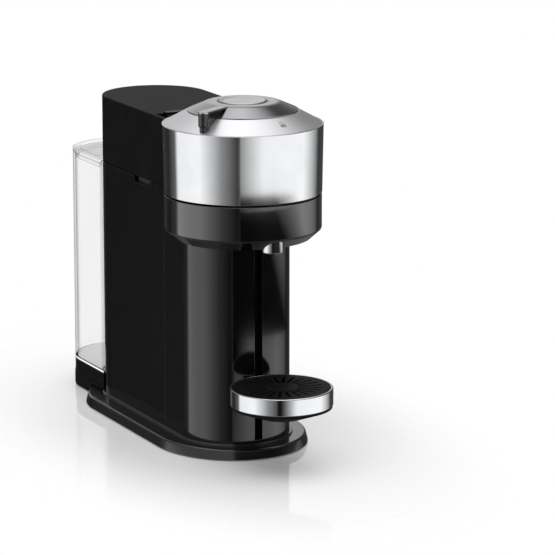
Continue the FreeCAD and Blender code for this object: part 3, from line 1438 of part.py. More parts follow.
def make_heater():
    low = f"({PAN_TOP} + heater_leg)"
    half = "(heater_width / 2)"
    box = block("heater_box", (f"heater_x - {half}", f"heater_x + {half}"),
                (HEATER_Y, f"{HEATER_Y} + heater_length"),
                (low, f"{low} + heater_height"))
    doc.recompute()
    rounded = doc.addObject("Part::Fillet", "heater_rounded")
    rounded.Base = box
    along = [number for number, edge in enumerate(box.Shape.Edges,
                                                  start=1) if edge.BoundBox.YLength > num("heater_round")]
    rounded.Edges = [(number, num("heater_round"), num("heater_round")) for number in along]
    legs = []
    leg_sides = ("heater_x - heater_leg_size", "heater_x + heater_leg_size")
    leg_starts = (f"{HEATER_Y} + heater_leg_size", f"{HEATER_Y} + heater_length - 2 * heater_leg_size")
    for number, start in enumerate(leg_starts):
        legs.append(block(f"heater_leg_{number}", leg_sides, (start, f"{start} + heater_leg_size"),
                          (PAN_TOP, f"{low} + {OVER}")))
    ports = []
    for number, sign in enumerate(("-1", "1")):
        port_x = f"heater_x + {sign} * heater_port_spread"
        ports.append(cylinder(f"heater_port_{number}", "heater_port", f"heater_port_length + {OVER}",
                              port_x, f"{HEATER_Y} - heater_port_length", heater_port_height(), "Y"))
    finished("heater_block", join("heater_block", rounded, *legs, *ports))


def make_hoses(meter_y, meter_out, pump_end):
    pump_in = f"({pump_end} + pump_nipple_length + seat_gap)"
    pump_out = f"({PUMP_Y} - pump_nipple_length - seat_gap)"
    port_end = f"({HEATER_Y} - heater_port_length - seat_gap)"
    port_z = heater_port_height()
    suction = [("0", meter_y, meter_out), ("0", meter_y, "pump_z"), ("pump_x", meter_y, "pump_z"),
               ("pump_x", pump_in, "pump_z")]
    finished("suction_hose", tube("suction_hose", suction, "inlet_radius", "hose_bend / 2"))
    delivery = [("pump_x", pump_out, "pump_z"), ("pump_x", f"{pump_out} - hose_lead", "pump_z"),
                ("heater_x - heater_port_spread", f"{port_end} - hose_lead", port_z),
                ("heater_x - heater_port_spread", port_end, port_z)]
    finished("pressure_hose", tube("pressure_hose", delivery, "hose_radius", "hose_bend"))
    side = f"({CHEEK_END} + hose_side)"
    riser = [("heater_x + heater_port_spread", port_end, port_z),
             ("heater_x + heater_port_spread", HINGE_Y, port_z),
             (side, HINGE_Y, f"{port_z} + hose_climb"), (side, HINGE_Y, HINGE_Z),
             (f"{CHEEK_END} + seat_gap", HINGE_Y, HINGE_Z)]
    finished("head_hose", tube("head_hose", riser, "feed_radius", "hose_bend / 2"))


def make_control_board():
    low = f"({PAN_TOP} + board_lift)"
    top = f"({low} + board_height)"
    face = f"({CHASSIS_Y} - board_standoff)"
    front = f"({face} - board_thick)"
    plate = block("board_plate", ("-1 * board_half_width", "board_half_width"), (front, face), (low, top))
    studs = []
    for side in ("-1", "1"):
        for level, height in (("low", f"{low} + stud_inset"), ("high", f"{top} - stud_inset")):
            studs.append(cylinder(f"board_stud_{level}_{len(studs)}", "stud_radius", "board_standoff",
                                  f"{side} * (board_half_width - stud_inset)", face, height, "Y"))
    depth = (f"{front} - part_depth", front)
    part_low = f"({low} + part_lift)"
    transformer = block("board_transformer", ("-1 * part_side - transformer_width", "-1 * part_side"),
                        depth,
                        (part_low, f"{part_low} + transformer_height"))
    relay = block("board_relay", ("part_side", "part_side + relay_width"), depth,
                  (part_low, f"{part_low} + relay_height"))
    cans = [cylinder(f"board_can_{step + 1}", "can_radius", "part_depth", f"{step} * can_pitch",
                     f"{front} - part_depth", f"{low} + can_lift", "Y")
            for step in (-1, 0, 1)]
    finished("control_board", join("control_board", plate, *studs, transformer, relay, *cans))


# Cup support


def make_cup_support():
    inner = "(support_radius - support_wall)"
    corners = [(inner, SUPPORT_Z), ("support_radius", SUPPORT_Z, "support_round"),
               ("support_radius", "support_top", "support_round"), (inner, "support_top")]
    finished("support_ring", turned("support_ring", corners, y=SUPPORT_Y))
    flange_r = "(support_radius - support_round / 2)"
    wall_r = f"({inner} - press_gap)"
    room_r = f"({wall_r} - bowl_wall)"
    floor = f"({SUPPORT_Z} + bowl_wall / 2)"
    bowl = [("0", BOWL_Z), ("bowl_foot", BOWL_Z, "bowl_wall"), (flange_r, f"{SUPPORT_Z} - bowl_flange"),
            (flange_r, SUPPORT_Z), (wall_r, SUPPORT_Z), (wall_r, f"{SUPPORT_Z} + bowl_collar"),
            (room_r, f"{SUPPORT_Z} + bowl_collar"), (room_r, floor),
            ("bowl_foot", f"{BOWL_Z} + bowl_wall"), ("0", f"{BOWL_Z} + bowl_wall")]
    shoe_front = f"({FRONT_Y} + tower_wall + shoe_play)"
    neck_top = f"({SUPPORT_Z} - press_gap)"
    neck = block("support_neck", ("-1 * neck_half", "neck_half"),
                 (f"{FRONT_Y} - neck_root", f"{shoe_front} + {OVER}"),
                 (f"{neck_top} - neck_height", neck_top))
    shoe_low = f"({neck_top} - neck_height / 2 - shoe_height / 2)"
    shoe = block("support_shoe", ("-1 * shoe_half", "shoe_half"),
                 (shoe_front, f"{shoe_front} + shoe_depth"),
                 (shoe_low, f"{shoe_low} + shoe_height"))
    hollow = turned("bowl_room",
                    [("0", f"{BOWL_Z} + bowl_wall"), ("bowl_foot", f"{BOWL_Z} + bowl_wall"),
                     (room_r, floor), (room_r, "support_top"), ("0", "support_top")], y=SUPPORT_Y)
    arm = cut("support_arm", join("support_arm_whole", neck, shoe), hollow)
    finished("support_bowl", join("support_bowl", turned("bowl_dish", bowl, y=SUPPORT_Y), arm))
    grid_low = "(support_top - grid_thick)"
    tray_top = f"({grid_low} - seat_gap)"
    tray_low = f"({floor} + seat_gap)"
    tray_r = f"({room_r} - run_gap)"
    tray = [("0", tray_low), (tray_r, tray_low), (tray_r, tray_top), (f"{tray_r} - tray_wall", tray_top),
            (f"{tray_r} - tray_wall", f"{tray_low} + tray_floor"), ("0", f"{tray_low} + tray_floor")]
    finished("drip_tray", turned("drip_tray", tray, y=SUPPORT_Y))
    disc = cylinder("grid_disc", f"{inner} - run_gap", "grid_thick", y=SUPPORT_Y, z=grid_low)
    slots = []
    for number in range(int(num("grid_slots"))):
        slot = block(f"grid_slot_{number}", ("grid_slot_inner", "grid_slot_inner + grid_slot_length"),
                     ("-1 * grid_slot_width / 2", "grid_slot_width / 2"),
                     ("0", f"grid_thick + 2 * {OVER}"))
        holder = doc.addObject("Part::Compound", f"grid_slot_turned_{number}")
        holder.Links = [slot]
        holder.Placement.Rotation = Rotation(Vector(0, 0, 1), 360 * number / num("grid_slots"))
        bind(holder, {"Placement.Base.y": SUPPORT_Y, "Placement.Base.z": f"{grid_low} - {OVER}"})
        slots.append(holder)
    finished("drip_grid", cut("drip_grid", disc, *slots))


def check_document():
    """Stop if any object failed or any sub-part is empty or broken."""
    for thing in doc.Objects:
        if "Invalid" in thing.State or "Error" in thing.State:
            raise RuntimeError(f"{thing.Label} failed: {thing.State}")
    for piece in pieces:
        if piece.Shape.isNull() or not piece.Shape.isValid() or not piece.Shape.Solids:
            raise RuntimeError(f"{piece.Label} has no valid solid")


make_feet()
make_base_pan()
make_base_cover()
make_base_screws()
make_tower_front()
make_tower_rear()
make_guide_rail()
make_chassis()
make_cord_gland()
make_lower_head()
make_collector()
make_spout()
make_code_reader()
make_capsule_holder()
make_drive_belt()
make_motor()
make_head_band()
make_shoulder()
make_head_liner()
make_head_frame()
make_hinge()
make_clamp()
make_feed_tube()
make_collar()
make_lever()
make_button()
make_bin()
make_tank_seat()
make_water_tank()
make_tank_lid()
make_valve()
make_water_parts()
make_control_board()
make_cup_support()
doc.recompute()
check_document()

os.makedirs("parts", exist_ok=True)
for piece in pieces:
    piece.Shape.exportStep(f"parts/{piece.Label}.step")
    print(f"{piece.Label}: {len(piece.Shape.Solids)} solids, {piece.Shape.Volume / 1000:.2f} cm3")
print(f"{len(pieces)} sub-parts written")
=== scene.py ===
# %% [markdown]
# # Dressing a pod coffee machine
# The machine's solids come packed as a fixed frame, in metres, with the front towards -Y.
# They could be drawn again from nothing, but then looks and mechanism would drift apart.
# So the frame stays as it is, and each piece is dressed, or replaced by a finer one that rides with it.

# %% Load the frame
import json
import math
import bmesh
import bpy
from mathutils import Matrix, Vector


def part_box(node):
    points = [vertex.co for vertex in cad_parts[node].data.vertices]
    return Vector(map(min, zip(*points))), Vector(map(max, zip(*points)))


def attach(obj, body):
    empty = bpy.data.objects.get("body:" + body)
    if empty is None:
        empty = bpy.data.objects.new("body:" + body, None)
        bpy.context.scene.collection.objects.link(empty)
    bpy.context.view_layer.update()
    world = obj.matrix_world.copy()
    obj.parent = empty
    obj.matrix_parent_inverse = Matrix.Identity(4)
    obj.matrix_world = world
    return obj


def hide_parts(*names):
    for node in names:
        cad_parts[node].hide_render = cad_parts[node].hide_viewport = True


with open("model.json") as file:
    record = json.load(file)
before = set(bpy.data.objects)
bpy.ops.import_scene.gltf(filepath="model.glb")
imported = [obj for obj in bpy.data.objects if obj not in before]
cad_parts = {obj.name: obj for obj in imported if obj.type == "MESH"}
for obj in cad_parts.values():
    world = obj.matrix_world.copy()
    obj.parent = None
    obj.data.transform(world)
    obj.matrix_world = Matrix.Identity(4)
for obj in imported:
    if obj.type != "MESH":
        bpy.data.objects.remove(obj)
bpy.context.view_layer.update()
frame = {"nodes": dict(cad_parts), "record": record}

nodes = frame["nodes"]
record = frame["record"]
body_of = {node: body for body, members in record["behaviour"]["bodies"].items() for node in members}
slot_of = {part["node"]: part["material_slot"] for part in record["subparts"]}
MM = 0.001

# %% [markdown]
# ## Camera
# The picture is taken from the front left and a little from above, through a long lens.
# A camera can be aimed with a constraint, but two plain angles keep it easy to read and to check.

# %% Camera
PICTURE_SIDE = 555
FOCAL_PIXELS = 3351
CAMERA_PLACE = Vector((-1.262, -2.6925, 0.8056))
CAMERA_TURN = math.radians(-26.5)
CAMERA_DIP = math.radians(12.69)

camera_data = bpy.data.cameras.new("camera")
camera_data.sensor_fit = "HORIZONTAL"
camera_data.lens = camera_data.sensor_width * FOCAL_PIXELS / PICTURE_SIDE
camera = bpy.data.objects.new("camera", camera_data)
camera.location = CAMERA_PLACE
camera.rotation_euler = (math.pi / 2 - CAMERA_DIP, 0, CAMERA_TURN)
bpy.context.scene.collection.objects.link(camera)
bpy.context.scene.camera = camera
bpy.context.scene.view_settings.view_transform = "Standard"
print(f"lens {camera_data.lens:.1f} mm")

# %% [markdown]
# ## One way to add a node
# Every finish and the studio are node trees. One small function adds a node, sets what belongs
# to the node, and fills its inputs with plain values or with links from other nodes.

# %% Node and colour helpers
def add(tree, kind, settings=None, inputs=None):
    """A new shader node with its own settings and its inputs. Stops fill a colour ramp."""
    node = tree.nodes.new("ShaderNode" + kind)
    for key, value in (settings or {}).items():
        if key != "stops":
            setattr(node, key, value)
            continue
        elements = node.color_ramp.elements
        while len(elements) < len(value):
            elements.new(1.0)
        for element, (place, colour) in zip(elements, value):
            element.position = place
            element.color = colour
    for key, value in (inputs or {}).items():
        if isinstance(value, bpy.types.NodeSocket):
            tree.links.new(value, node.inputs[key])
        else:
            node.inputs[key].default_value = value
    return node


def paint(hex_code):
    """An sRGB hex colour as linear red, green, blue and alpha."""
    parts = [int(hex_code[start:start + 2], 16) / 255 for start in (1, 3, 5)]
    return tuple(p / 12.92 if p <= 0.04045 else ((p + 0.055) / 1.055) ** 2.4 for p in parts) + (1.0,)


print("a mid grey is", [round(part, 3) for part in paint("#808080")])

# %% [markdown]
# ## Studio
# Polished metal looks like what stands around it, so the room matters more than the lamps.
# Two soft boxes stand low to the left and right of the camera, with a dark gap between them. Above them
# grey walls go round, palest in front and behind, and a bright ceiling hangs over all. Lamps and cards
# could be modelled, but a world that is painted by direction leaves nothing to hide from the camera.
# What the camera sees directly, or through clear plastic, is plain white.

# %% Studio world
SOFT_BOX = 1.6
CAMERA_SIDE = math.radians(-116.5)
CEILING = 1.2
FLOOR_DARK = 0.12
SIDE_STOPS = [(-180, 0.05), (-132, 0.02), (-113, 0.12), (-106, 0.92), (-64, 1.0), (-30, 0.26), (-8, 0.05),
              (-4, 0.06), (-2.5, 0.3), (30, 0.95), (98, 1.0), (138, 0.04), (180, 0.05)]
UPPER_STOPS = [(-180, 0.5), (-155, 0.45), (-128, 0.12), (-95, 0.3), (0, 0.5), (60, 0.3), (120, 0.1),
               (160, 0.05), (174, 0.2), (180, 0.5)]
HORIZON = (-0.05, 0.12)
OVERHEAD = (0.65, 0.96)
UNDERFOOT = (-0.55, -0.3)


def grey(level):
    """A neutral strength as a colour, for light and for masks."""
    return (level, level, level, 1)


def ring_of_light(stops):
    """Ramp stops from directions in degrees, counted from the camera to its right."""
    return [(0.5 + angle / 360, grey(level)) for angle, level in stops]


world = bpy.data.worlds.new("studio")
bpy.context.scene.world = world
world.use_nodes = True
sky = world.node_tree
sky.nodes.clear()
look = add(sky, "TexCoord").outputs["Generated"]
split = add(sky, "SeparateXYZ", None, {"Vector": look})
angle = add(sky, "Math", {"operation": "ARCTAN2"}, {0: split.outputs["Y"], 1: split.outputs["X"]})
turned = add(sky, "Math", {"operation": "SUBTRACT"}, {0: angle.outputs[0], 1: CAMERA_SIDE - math.pi})
share = add(sky, "Math", {"operation": "DIVIDE"}, {0: turned.outputs[0], 1: math.tau})
around = add(sky, "Math", {"operation": "FRACT"}, {0: share.outputs[0]}).outputs[0]
side = add(sky, "ValToRGB", {"stops": ring_of_light(SIDE_STOPS)}, {"Fac": around})
upper = add(sky, "ValToRGB", {"stops": ring_of_light(UPPER_STOPS)}, {"Fac": around})
rise, high, deep = [
    add(sky, "MapRange", {"interpolation_type": "SMOOTHSTEP"},
        {"Value": split.outputs["Z"], "From Min": start, "From Max": end})
    for start, end in (HORIZON, OVERHEAD, UNDERFOOT)]
below = add(sky, "MixRGB", None, {"Fac": deep.outputs[0], "Color1": grey(FLOOR_DARK),
                                  "Color2": side.outputs[0]})
walls = add(sky, "MixRGB", None, {"Fac": rise.outputs[0], "Color1": below.outputs[0],
                                  "Color2": upper.outputs[0]})
room = add(sky, "MixRGB", None, {"Fac": high.outputs[0], "Color1": walls.outputs[0],
                                 "Color2": grey(CEILING)})
studio = add(sky, "Background", None, {"Color": room.outputs[0], "Strength": SOFT_BOX})
white = add(sky, "Background", None, {"Color": paint("#FFFFFF"), "Strength": 1.0})
ray = add(sky, "LightPath")
plain = add(sky, "Math", {"operation": "MAXIMUM"},
            {0: ray.outputs["Is Camera Ray"], 1: ray.outputs["Is Transmission Ray"]})
mixed = add(sky, "MixShader", None, {0: plain.outputs[0], 1: studio.outputs[0], 2: white.outputs[0]})
add(sky, "OutputWorld", None, {"Surface": mixed.outputs[0]})
print(f"studio with {len(SIDE_STOPS)} side stops and {len(UPPER_STOPS)} upper stops")

# %% [markdown]
# ## Floor
# The machine stands on a light table: white acrylic, lit a little from below, that keeps a soft shadow
# and a faint mirror image.
# A very large plane would show a horizon, so a disc fades away with the distance from the machine.

# %% Floor
FLOOR_RADIUS = 0.9
FLOOR_FADE = (0.2, 0.44)
FLOOR_OVAL = (1.9, 1, 1)
TABLE_GLOW = 0.08


def new_material(name):
    """A material with an empty node tree."""
    made = bpy.data.materials.new(name)
    made.use_nodes = True
    made.node_tree.nodes.clear()
    return made, made.node_tree


def to_object(bm, name, material):
    """Turn the mesh that is being built into an object of the scene."""
    mesh = bpy.data.meshes.new(name)
    bm.to_mesh(mesh)
    bm.free()
    mesh.materials.append(material)
    made = bpy.data.objects.new(name, mesh)
    bpy.context.scene.collection.objects.link(made)
    return made


board, tree = new_material("white_acrylic_board")
place = add(tree, "TexCoord").outputs["Object"]
oval = add(tree, "Mapping", None, {"Vector": place, "Scale": FLOOR_OVAL})
away = add(tree, "VectorMath", {"operation": "LENGTH"}, {0: oval.outputs[0]})
fade = add(tree, "MapRange", {"interpolation_type": "SMOOTHSTEP"},
           {"Value": away.outputs["Value"], "From Min": FLOOR_FADE[0], "From Max": FLOOR_FADE[1]})
dust = add(tree, "TexNoise", None, {"Vector": place, "Scale": 1 / (4 * MM)})
gloss = add(tree, "MapRange", None, {"Value": dust.outputs[0], "To Min": 0.04, "To Max": 0.08})
surface = add(tree, "BsdfPrincipled", None, {
    "Base Color": paint("#FCFCFC"), "IOR": 1.49, "Roughness": gloss.outputs[0],
    "Emission Color": paint("#FFFFFF"), "Emission Strength": TABLE_GLOW})
clear = add(tree, "BsdfTransparent")
faded = add(tree, "MixShader", None, {0: fade.outputs[0], 1: surface.outputs[0], 2: clear.outputs[0]})
add(tree, "OutputMaterial", None, {"Surface": faded.outputs[0]})

bm = bmesh.new()
bmesh.ops.create_circle(bm, cap_ends=True, segments=96, radius=FLOOR_RADIUS)
floor = to_object(bm, "floor", board)
floor.visible_glossy = False
print(f"floor {2 * FLOOR_RADIUS:.1f} m across")

# %% [markdown]
# ## Black flag
# A low black flag stands in front and round to the right, out of the picture. The light could be moved
# instead, but the chrome needs it there. The flag is only as high as hides the light from the tower and the
# lower head, so that their middle stays black, and its felt thins out to the right, sooner at the top.
# The floor stays out of mirrored light, so a short apron goes on below it, for the tower's foot.

# %% Black felt
FLAG_LOW = -0.07
FLAG_HIGH = 0.146
FLAG_START = CAMERA_SIDE - math.radians(3)
FADE_START = 67 / 360
FADE_LENGTH = 40 / 360
FADE_RISE = 1.7
FADE_HEIGHT = 0.75 * FLAG_HIGH
APRON_TURN = 36 / 360
flag_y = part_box("head_band")[0].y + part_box("head_band")[1].x
felt, tree = new_material("black_felt")
place = add(tree, "TexCoord").outputs["Object"]
fibres = add(tree, "TexNoise", None, {"Vector": place, "Scale": 1 / (2 * MM)})
tone = add(tree, "ValToRGB", {"stops": [(0.3, paint("#141414")), (0.7, paint("#242424"))]},
           {"Fac": fibres.outputs[0]})
surface = add(tree, "BsdfPrincipled", None, {"Base Color": tone.outputs[0], "Roughness": 0.9})
turned = add(tree, "Mapping", {"vector_type": "TEXTURE"},
             {"Vector": place, "Location": (0, flag_y, 0), "Rotation": (0, 0, FLAG_START)})
angle = add(tree, "TexGradient", {"gradient_type": "RADIAL"}, {"Vector": turned.outputs[0]})
height = add(tree, "SeparateXYZ", None, {"Vector": place}).outputs["Z"]
sooner = add(tree, "Math", {"operation": "MULTIPLY_ADD"},
             {0: height, 1: FADE_RISE, 2: angle.outputs["Fac"]})
fade_low = 0.5 + FADE_START + FADE_RISE * FADE_HEIGHT
thin = add(tree, "MapRange", None, {"Value": sooner.outputs[0], "From Min": fade_low,
                                    "From Max": fade_low + FADE_LENGTH})
apron = add(tree, "MapRange", None, {"Value": angle.outputs["Fac"], "From Min": 0.5 + APRON_TURN / 6,
                                     "From Max": 0.5 + APRON_TURN})
below = add(tree, "Math", {"operation": "LESS_THAN"}, {0: height, 1: 0.0})
cut = add(tree, "Math", {"operation": "MULTIPLY"}, {0: apron.outputs[0], 1: below.outputs[0]})
thinned = add(tree, "Math", {"operation": "MAXIMUM"}, {0: thin.outputs[0], 1: cut.outputs[0]})
gap = add(tree, "BsdfTransparent")
mixed = add(tree, "MixShader", None, {0: thinned.outputs[0], 1: surface.outputs[0], 2: gap.outputs[0]})
add(tree, "OutputMaterial", None, {"Surface": mixed.outputs[0]})
print(f"felt thins out over {360 * FADE_LENGTH:.0f} degrees")

# %% Black flag
FLAG_RADIUS = 0.47
FLAG_TURN = math.radians(150)
bm = bmesh.new()
flag_x = FLAG_RADIUS * math.cos(FLAG_START)
flag_front = FLAG_RADIUS * math.sin(FLAG_START)
ends = [bm.verts.new((flag_x, flag_front, height)) for height in (FLAG_LOW, FLAG_HIGH)]
bmesh.ops.spin(bm, geom=ends + [bm.edges.new(ends)], cent=(0, 0, 0), axis=(0, 0, 1), angle=FLAG_TURN,
               steps=60)
bmesh.ops.translate(bm, verts=bm.verts[:], vec=(0, flag_y, 0))
bmesh.ops.recalc_face_normals(bm, faces=bm.faces[:])
flag = to_object(bm, "black_flag", felt)
flag.visible_camera = False
flag.visible_diffuse = False
flag.visible_transmission = False
flag.visible_shadow = False
print(f"flag {FLAG_HIGH - FLAG_LOW:.3f} m high")

# %% [markdown]
# ## Black plastics
# The tower is polished ABS, nearly black, with sharp reflections that are only slightly wavy, and the
# lower head and the base wear a clear coat on top, softer on the base. The bin and the seats are the same
# plastic from a spark-eroded mould, which breaks the reflection up into a soft grey sheen.
# Rounded edges could be modelled, but the Bevel node rounds the shading of sharp ones, as a mould
# does, and leaves the solids alone.

# %% Gloss and satin black
EDGE_ROUND = 0.5 * MM


def gloss_black(name, coat, blur):
    # Moulded ABS: black body with clear reflections and faint flow waves about 9 mm wide.
    # The coat lays a second reflection over the first, and blur softens both.
    made, tree = new_material(name)
    place = add(tree, "TexCoord").outputs["Object"]
    waves = add(tree, "TexNoise", None, {"Vector": place, "Scale": 1 / (9 * MM), "Detail": 1.0})
    smear = add(tree, "TexNoise", None, {"Vector": place, "Scale": 1 / (30 * MM), "Detail": 4.0})
    body = add(tree, "ValToRGB", {"stops": [(0.3, paint("#050506")), (0.75, paint("#0A0A0B"))]},
               {"Fac": smear.outputs[0]})
    rough = add(tree, "MapRange", None, {"Value": smear.outputs[0], "To Min": blur, "To Max": blur + 0.06})
    edge = add(tree, "Bevel", {"samples": 4}, {"Radius": EDGE_ROUND})
    bump = add(tree, "Bump", None, {"Strength": 0.06, "Distance": 0.1 * MM, "Height": waves.outputs[0],
                                    "Normal": edge.outputs[0]})
    surface = add(tree, "BsdfPrincipled", None, {
        "Base Color": body.outputs[0], "Roughness": rough.outputs[0], "IOR": 1.5,
        "Coat Weight": coat, "Coat IOR": 1.52, "Coat Roughness": blur / 2,
        "Normal": bump.outputs[0], "Coat Normal": bump.outputs[0]})
    add(tree, "OutputMaterial", None, {"Surface": surface.outputs[0]})
    return made


def satin_black():
    # Spark-eroded ABS: charcoal black whose fine pits, drawn 0.5 mm wide, blur every reflection.
    made, tree = new_material("spark_textured_abs_black")
    place = add(tree, "TexCoord").outputs["Object"]
    pits = add(tree, "TexNoise", None, {"Vector": place, "Scale": 1 / (0.5 * MM), "Detail": 2.0})
    cloud = add(tree, "TexNoise", None, {"Vector": place, "Scale": 1 / (25 * MM), "Detail": 3.0})
    body = add(tree, "ValToRGB", {"stops": [(0.3, paint("#121213")), (0.75, paint("#191919"))]},
               {"Fac": cloud.outputs[0]})
    rough = add(tree, "MapRange", None, {"Value": cloud.outputs[0], "To Min": 0.46, "To Max": 0.56})
    edge = add(tree, "Bevel", {"samples": 4}, {"Radius": EDGE_ROUND})
    bump = add(tree, "Bump", None, {"Strength": 0.25, "Distance": 0.05 * MM, "Height": pits.outputs[0],
                                    "Normal": edge.outputs[0]})
    surface = add(tree, "BsdfPrincipled", None, {
        "Base Color": body.outputs[0], "Roughness": rough.outputs[0], "IOR": 1.5,
        "Specular IOR Level": 0.04, "Normal": bump.outputs[0]})
    add(tree, "OutputMaterial", None, {"Surface": surface.outputs[0]})
    return made


finishes = {"gloss_black": gloss_black("polished_abs_black", 0.1, 0.07), "satin_black": satin_black()}
hard_coat = gloss_black("hard_coated_abs_black", 1.0, 0.06)
base_coat = gloss_black("semi_gloss_abs_black", 0.5, 0.2)
print("made", sorted(finishes))

# %% [markdown]
# ## Metals
# The band and the support's ring are chrome plate, which mirrors about half of the light. The shoulder is
# spun aluminium: a tool has left rings round the axis, finer than the eye can part, which draw the light
# into soft fans. A stretched noise would draw straight lines, so the rings are a noise of the distance
# from the axis and follow any piece turned about it.

# %% Chrome
def chrome_plate():
    # Bright chrome: cool grey mirror, with a trace of haze where hands wipe it.
    made, tree = new_material("chrome_plate")
    place = add(tree, "TexCoord").outputs["Object"]
    haze = add(tree, "TexNoise", None, {"Vector": place, "Scale": 1 / (18 * MM), "Detail": 5.0})
    tone = add(tree, "ValToRGB", {"stops": [(0.3, paint("#C2C3C5")), (0.7, paint("#C8C9CA"))]},
               {"Fac": haze.outputs[0]})
    rough = add(tree, "MapRange", None, {"Value": haze.outputs[0], "To Min": 0.05, "To Max": 0.11})
    surface = add(tree, "BsdfPrincipled", None, {"Base Color": tone.outputs[0], "Metallic": 1.0,
                                                 "Roughness": rough.outputs[0]})
    add(tree, "OutputMaterial", None, {"Surface": surface.outputs[0]})
    return made


finishes["chrome_plate"] = chrome_plate()
print("made", sorted(finishes))

# %% Spun and brushed metals
head_low, head_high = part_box("head_band")
HEAD_Y = (head_low.y + head_high.y) / 2


def spun_metal(name, dark, light, roughness, ring_width, depth):
    # Metal turned on a lathe about the head's axis: rings drawn a little wide so that they show.
    made, tree = new_material(name)
    place = add(tree, "TexCoord").outputs["Object"]
    centred = add(tree, "Mapping", None, {"Vector": place, "Location": (0, -HEAD_Y, 0),
                                          "Scale": (1, 1, 0)})
    distance = add(tree, "VectorMath", {"operation": "LENGTH"}, {0: centred.outputs[0]})
    rings = add(tree, "TexNoise", {"noise_dimensions": "1D"},
                {"W": distance.outputs["Value"], "Scale": 1 / ring_width, "Detail": 3.0})
    tone = add(tree, "ValToRGB", {"stops": [(0.3, paint(dark)), (0.7, paint(light))]},
               {"Fac": rings.outputs[0]})
    rough = add(tree, "MapRange", None, {"Value": rings.outputs[0], "To Min": roughness - 0.05,
                                         "To Max": roughness + 0.05})
    edge = add(tree, "Bevel", {"samples": 4}, {"Radius": EDGE_ROUND / 2})
    bump = add(tree, "Bump", None, {"Strength": 0.3, "Distance": depth, "Height": rings.outputs[0],
                                    "Normal": edge.outputs[0]})
    surface = add(tree, "BsdfPrincipled", None, {
        "Base Color": tone.outputs[0], "Metallic": 1.0, "Roughness": rough.outputs[0],
        "Anisotropic": 0.3, "Normal": bump.outputs[0]})
    add(tree, "OutputMaterial", None, {"Surface": surface.outputs[0]})
    return made


finishes["satin_aluminium"] = spun_metal("spun_aluminium", "#CDCDCF", "#D8D8DA", 0.4, 0.4 * MM, 0.01 * MM)
finishes["dark_metal"] = spun_metal("dark_anodised_aluminium", "#949497", "#A8A8AA", 0.14, 0.5 * MM,
                                    0.004 * MM)
finishes["button_silver"] = spun_metal("brushed_steel_skin", "#CACACC", "#D6D6D8", 0.3, 0.5 * MM,
                                       0.006 * MM)
print("made", sorted(finishes))

# %% [markdown]
# ## Clear plastic, rubber and the hidden parts
# The tank is clear SAN, so it shows by its edges, its rim and what lies behind it. A glass shader would
# bend the light, which walls this thin hardly do, so they are see-through layers. What is inside the
# machine shows when a lid is lifted or the head is open, so it is finished too, with plainer patterns.

# %% Clear plastic
TANK_FLOOR = 28.9 * MM
FLOOR_EDGE = 0.2 * MM
FLOOR_THICK = 1.5 * MM
# The strength of a painted glow that lifts the tank's frosted floor, which is no lamp.
TANK_FLOOR_PAINTED_GLOW = 0.4
VEIL = [(0.0, 0.05), (0.57, 0.04), (0.68, 0.08), (0.8, 0.25), (1.0, 0.55)]


def clear_plastic():
    # Injection-moulded SAN: colourless face on, with grey edges where the eye looks along the wall.
    # The layer closes up at a flat angle.
    # The tank's floor is frosted by its mould, and the foot below it is smoked.
    made, tree = new_material("clear_san")
    place = add(tree, "TexCoord").outputs["Object"]
    flow = add(tree, "TexNoise", None, {"Vector": place, "Scale": 1 / (22 * MM), "Detail": 2.0})
    rough = add(tree, "MapRange", None, {"Value": flow.outputs[0], "To Min": 0.03, "To Max": 0.08})
    bump = add(tree, "Bump", None, {"Strength": 0.05, "Distance": 0.2 * MM, "Height": flow.outputs[0]})
    facing = add(tree, "LayerWeight", None, {"Blend": 0.5})
    veil = add(tree, "ValToRGB", {"stops": [(turn, grey(cover)) for turn, cover in VEIL]},
               {"Fac": facing.outputs["Facing"]})
    height = add(tree, "SeparateXYZ", None, {"Vector": place}).outputs["Z"]
    floor_top = add(tree, "MapRange", None, {"Value": height, "From Min": TANK_FLOOR + FLOOR_EDGE,
                                             "From Max": TANK_FLOOR - FLOOR_EDGE})
    foot = add(tree, "MapRange", None, {"Value": height, "From Min": TANK_FLOOR - FLOOR_THICK,
                                        "From Max": TANK_FLOOR - FLOOR_THICK - 0.5 * MM})
    cover = add(tree, "Math", {"operation": "MAXIMUM"}, {0: veil.outputs[0], 1: floor_top.outputs[0]})
    frost = add(tree, "Math", {"operation": "SUBTRACT"}, {0: floor_top.outputs[0], 1: foot.outputs[0]})
    wall = add(tree, "ValToRGB", {"stops": [(0.57, paint("#F2F3F3")), (0.68, paint("#1C1D1E"))]},
               {"Fac": facing.outputs["Facing"]})
    floored = add(tree, "Mix", {"data_type": "RGBA"},
                  {0: floor_top.outputs[0], 6: wall.outputs[0], 7: paint("#F2F3F3")})
    tint = add(tree, "Mix", {"data_type": "RGBA"},
               {0: foot.outputs[0], 6: floored.outputs[2], 7: paint("#0A0A0B")})
    # Painted glow: the frosted floor emits a little light of its own, though no lamp is in it, so that it
    # reads brighter.
    painted_floor_glow = add(tree, "Math", {"operation": "MULTIPLY"}, {0: frost.outputs[0], 1: TANK_FLOOR_PAINTED_GLOW})
    surface = add(tree, "BsdfPrincipled", None, {
        "Base Color": tint.outputs[2], "Roughness": rough.outputs[0], "IOR": 1.57,
        "Alpha": cover.outputs[0], "Emission Color": paint("#F2F3F3"),
        "Emission Strength": painted_floor_glow.outputs[0], "Normal": bump.outputs[0]})
    add(tree, "OutputMaterial", None, {"Surface": surface.outputs[0]})
    return made


finishes["clear_plastic"] = clear_plastic()
print("made", sorted(finishes))

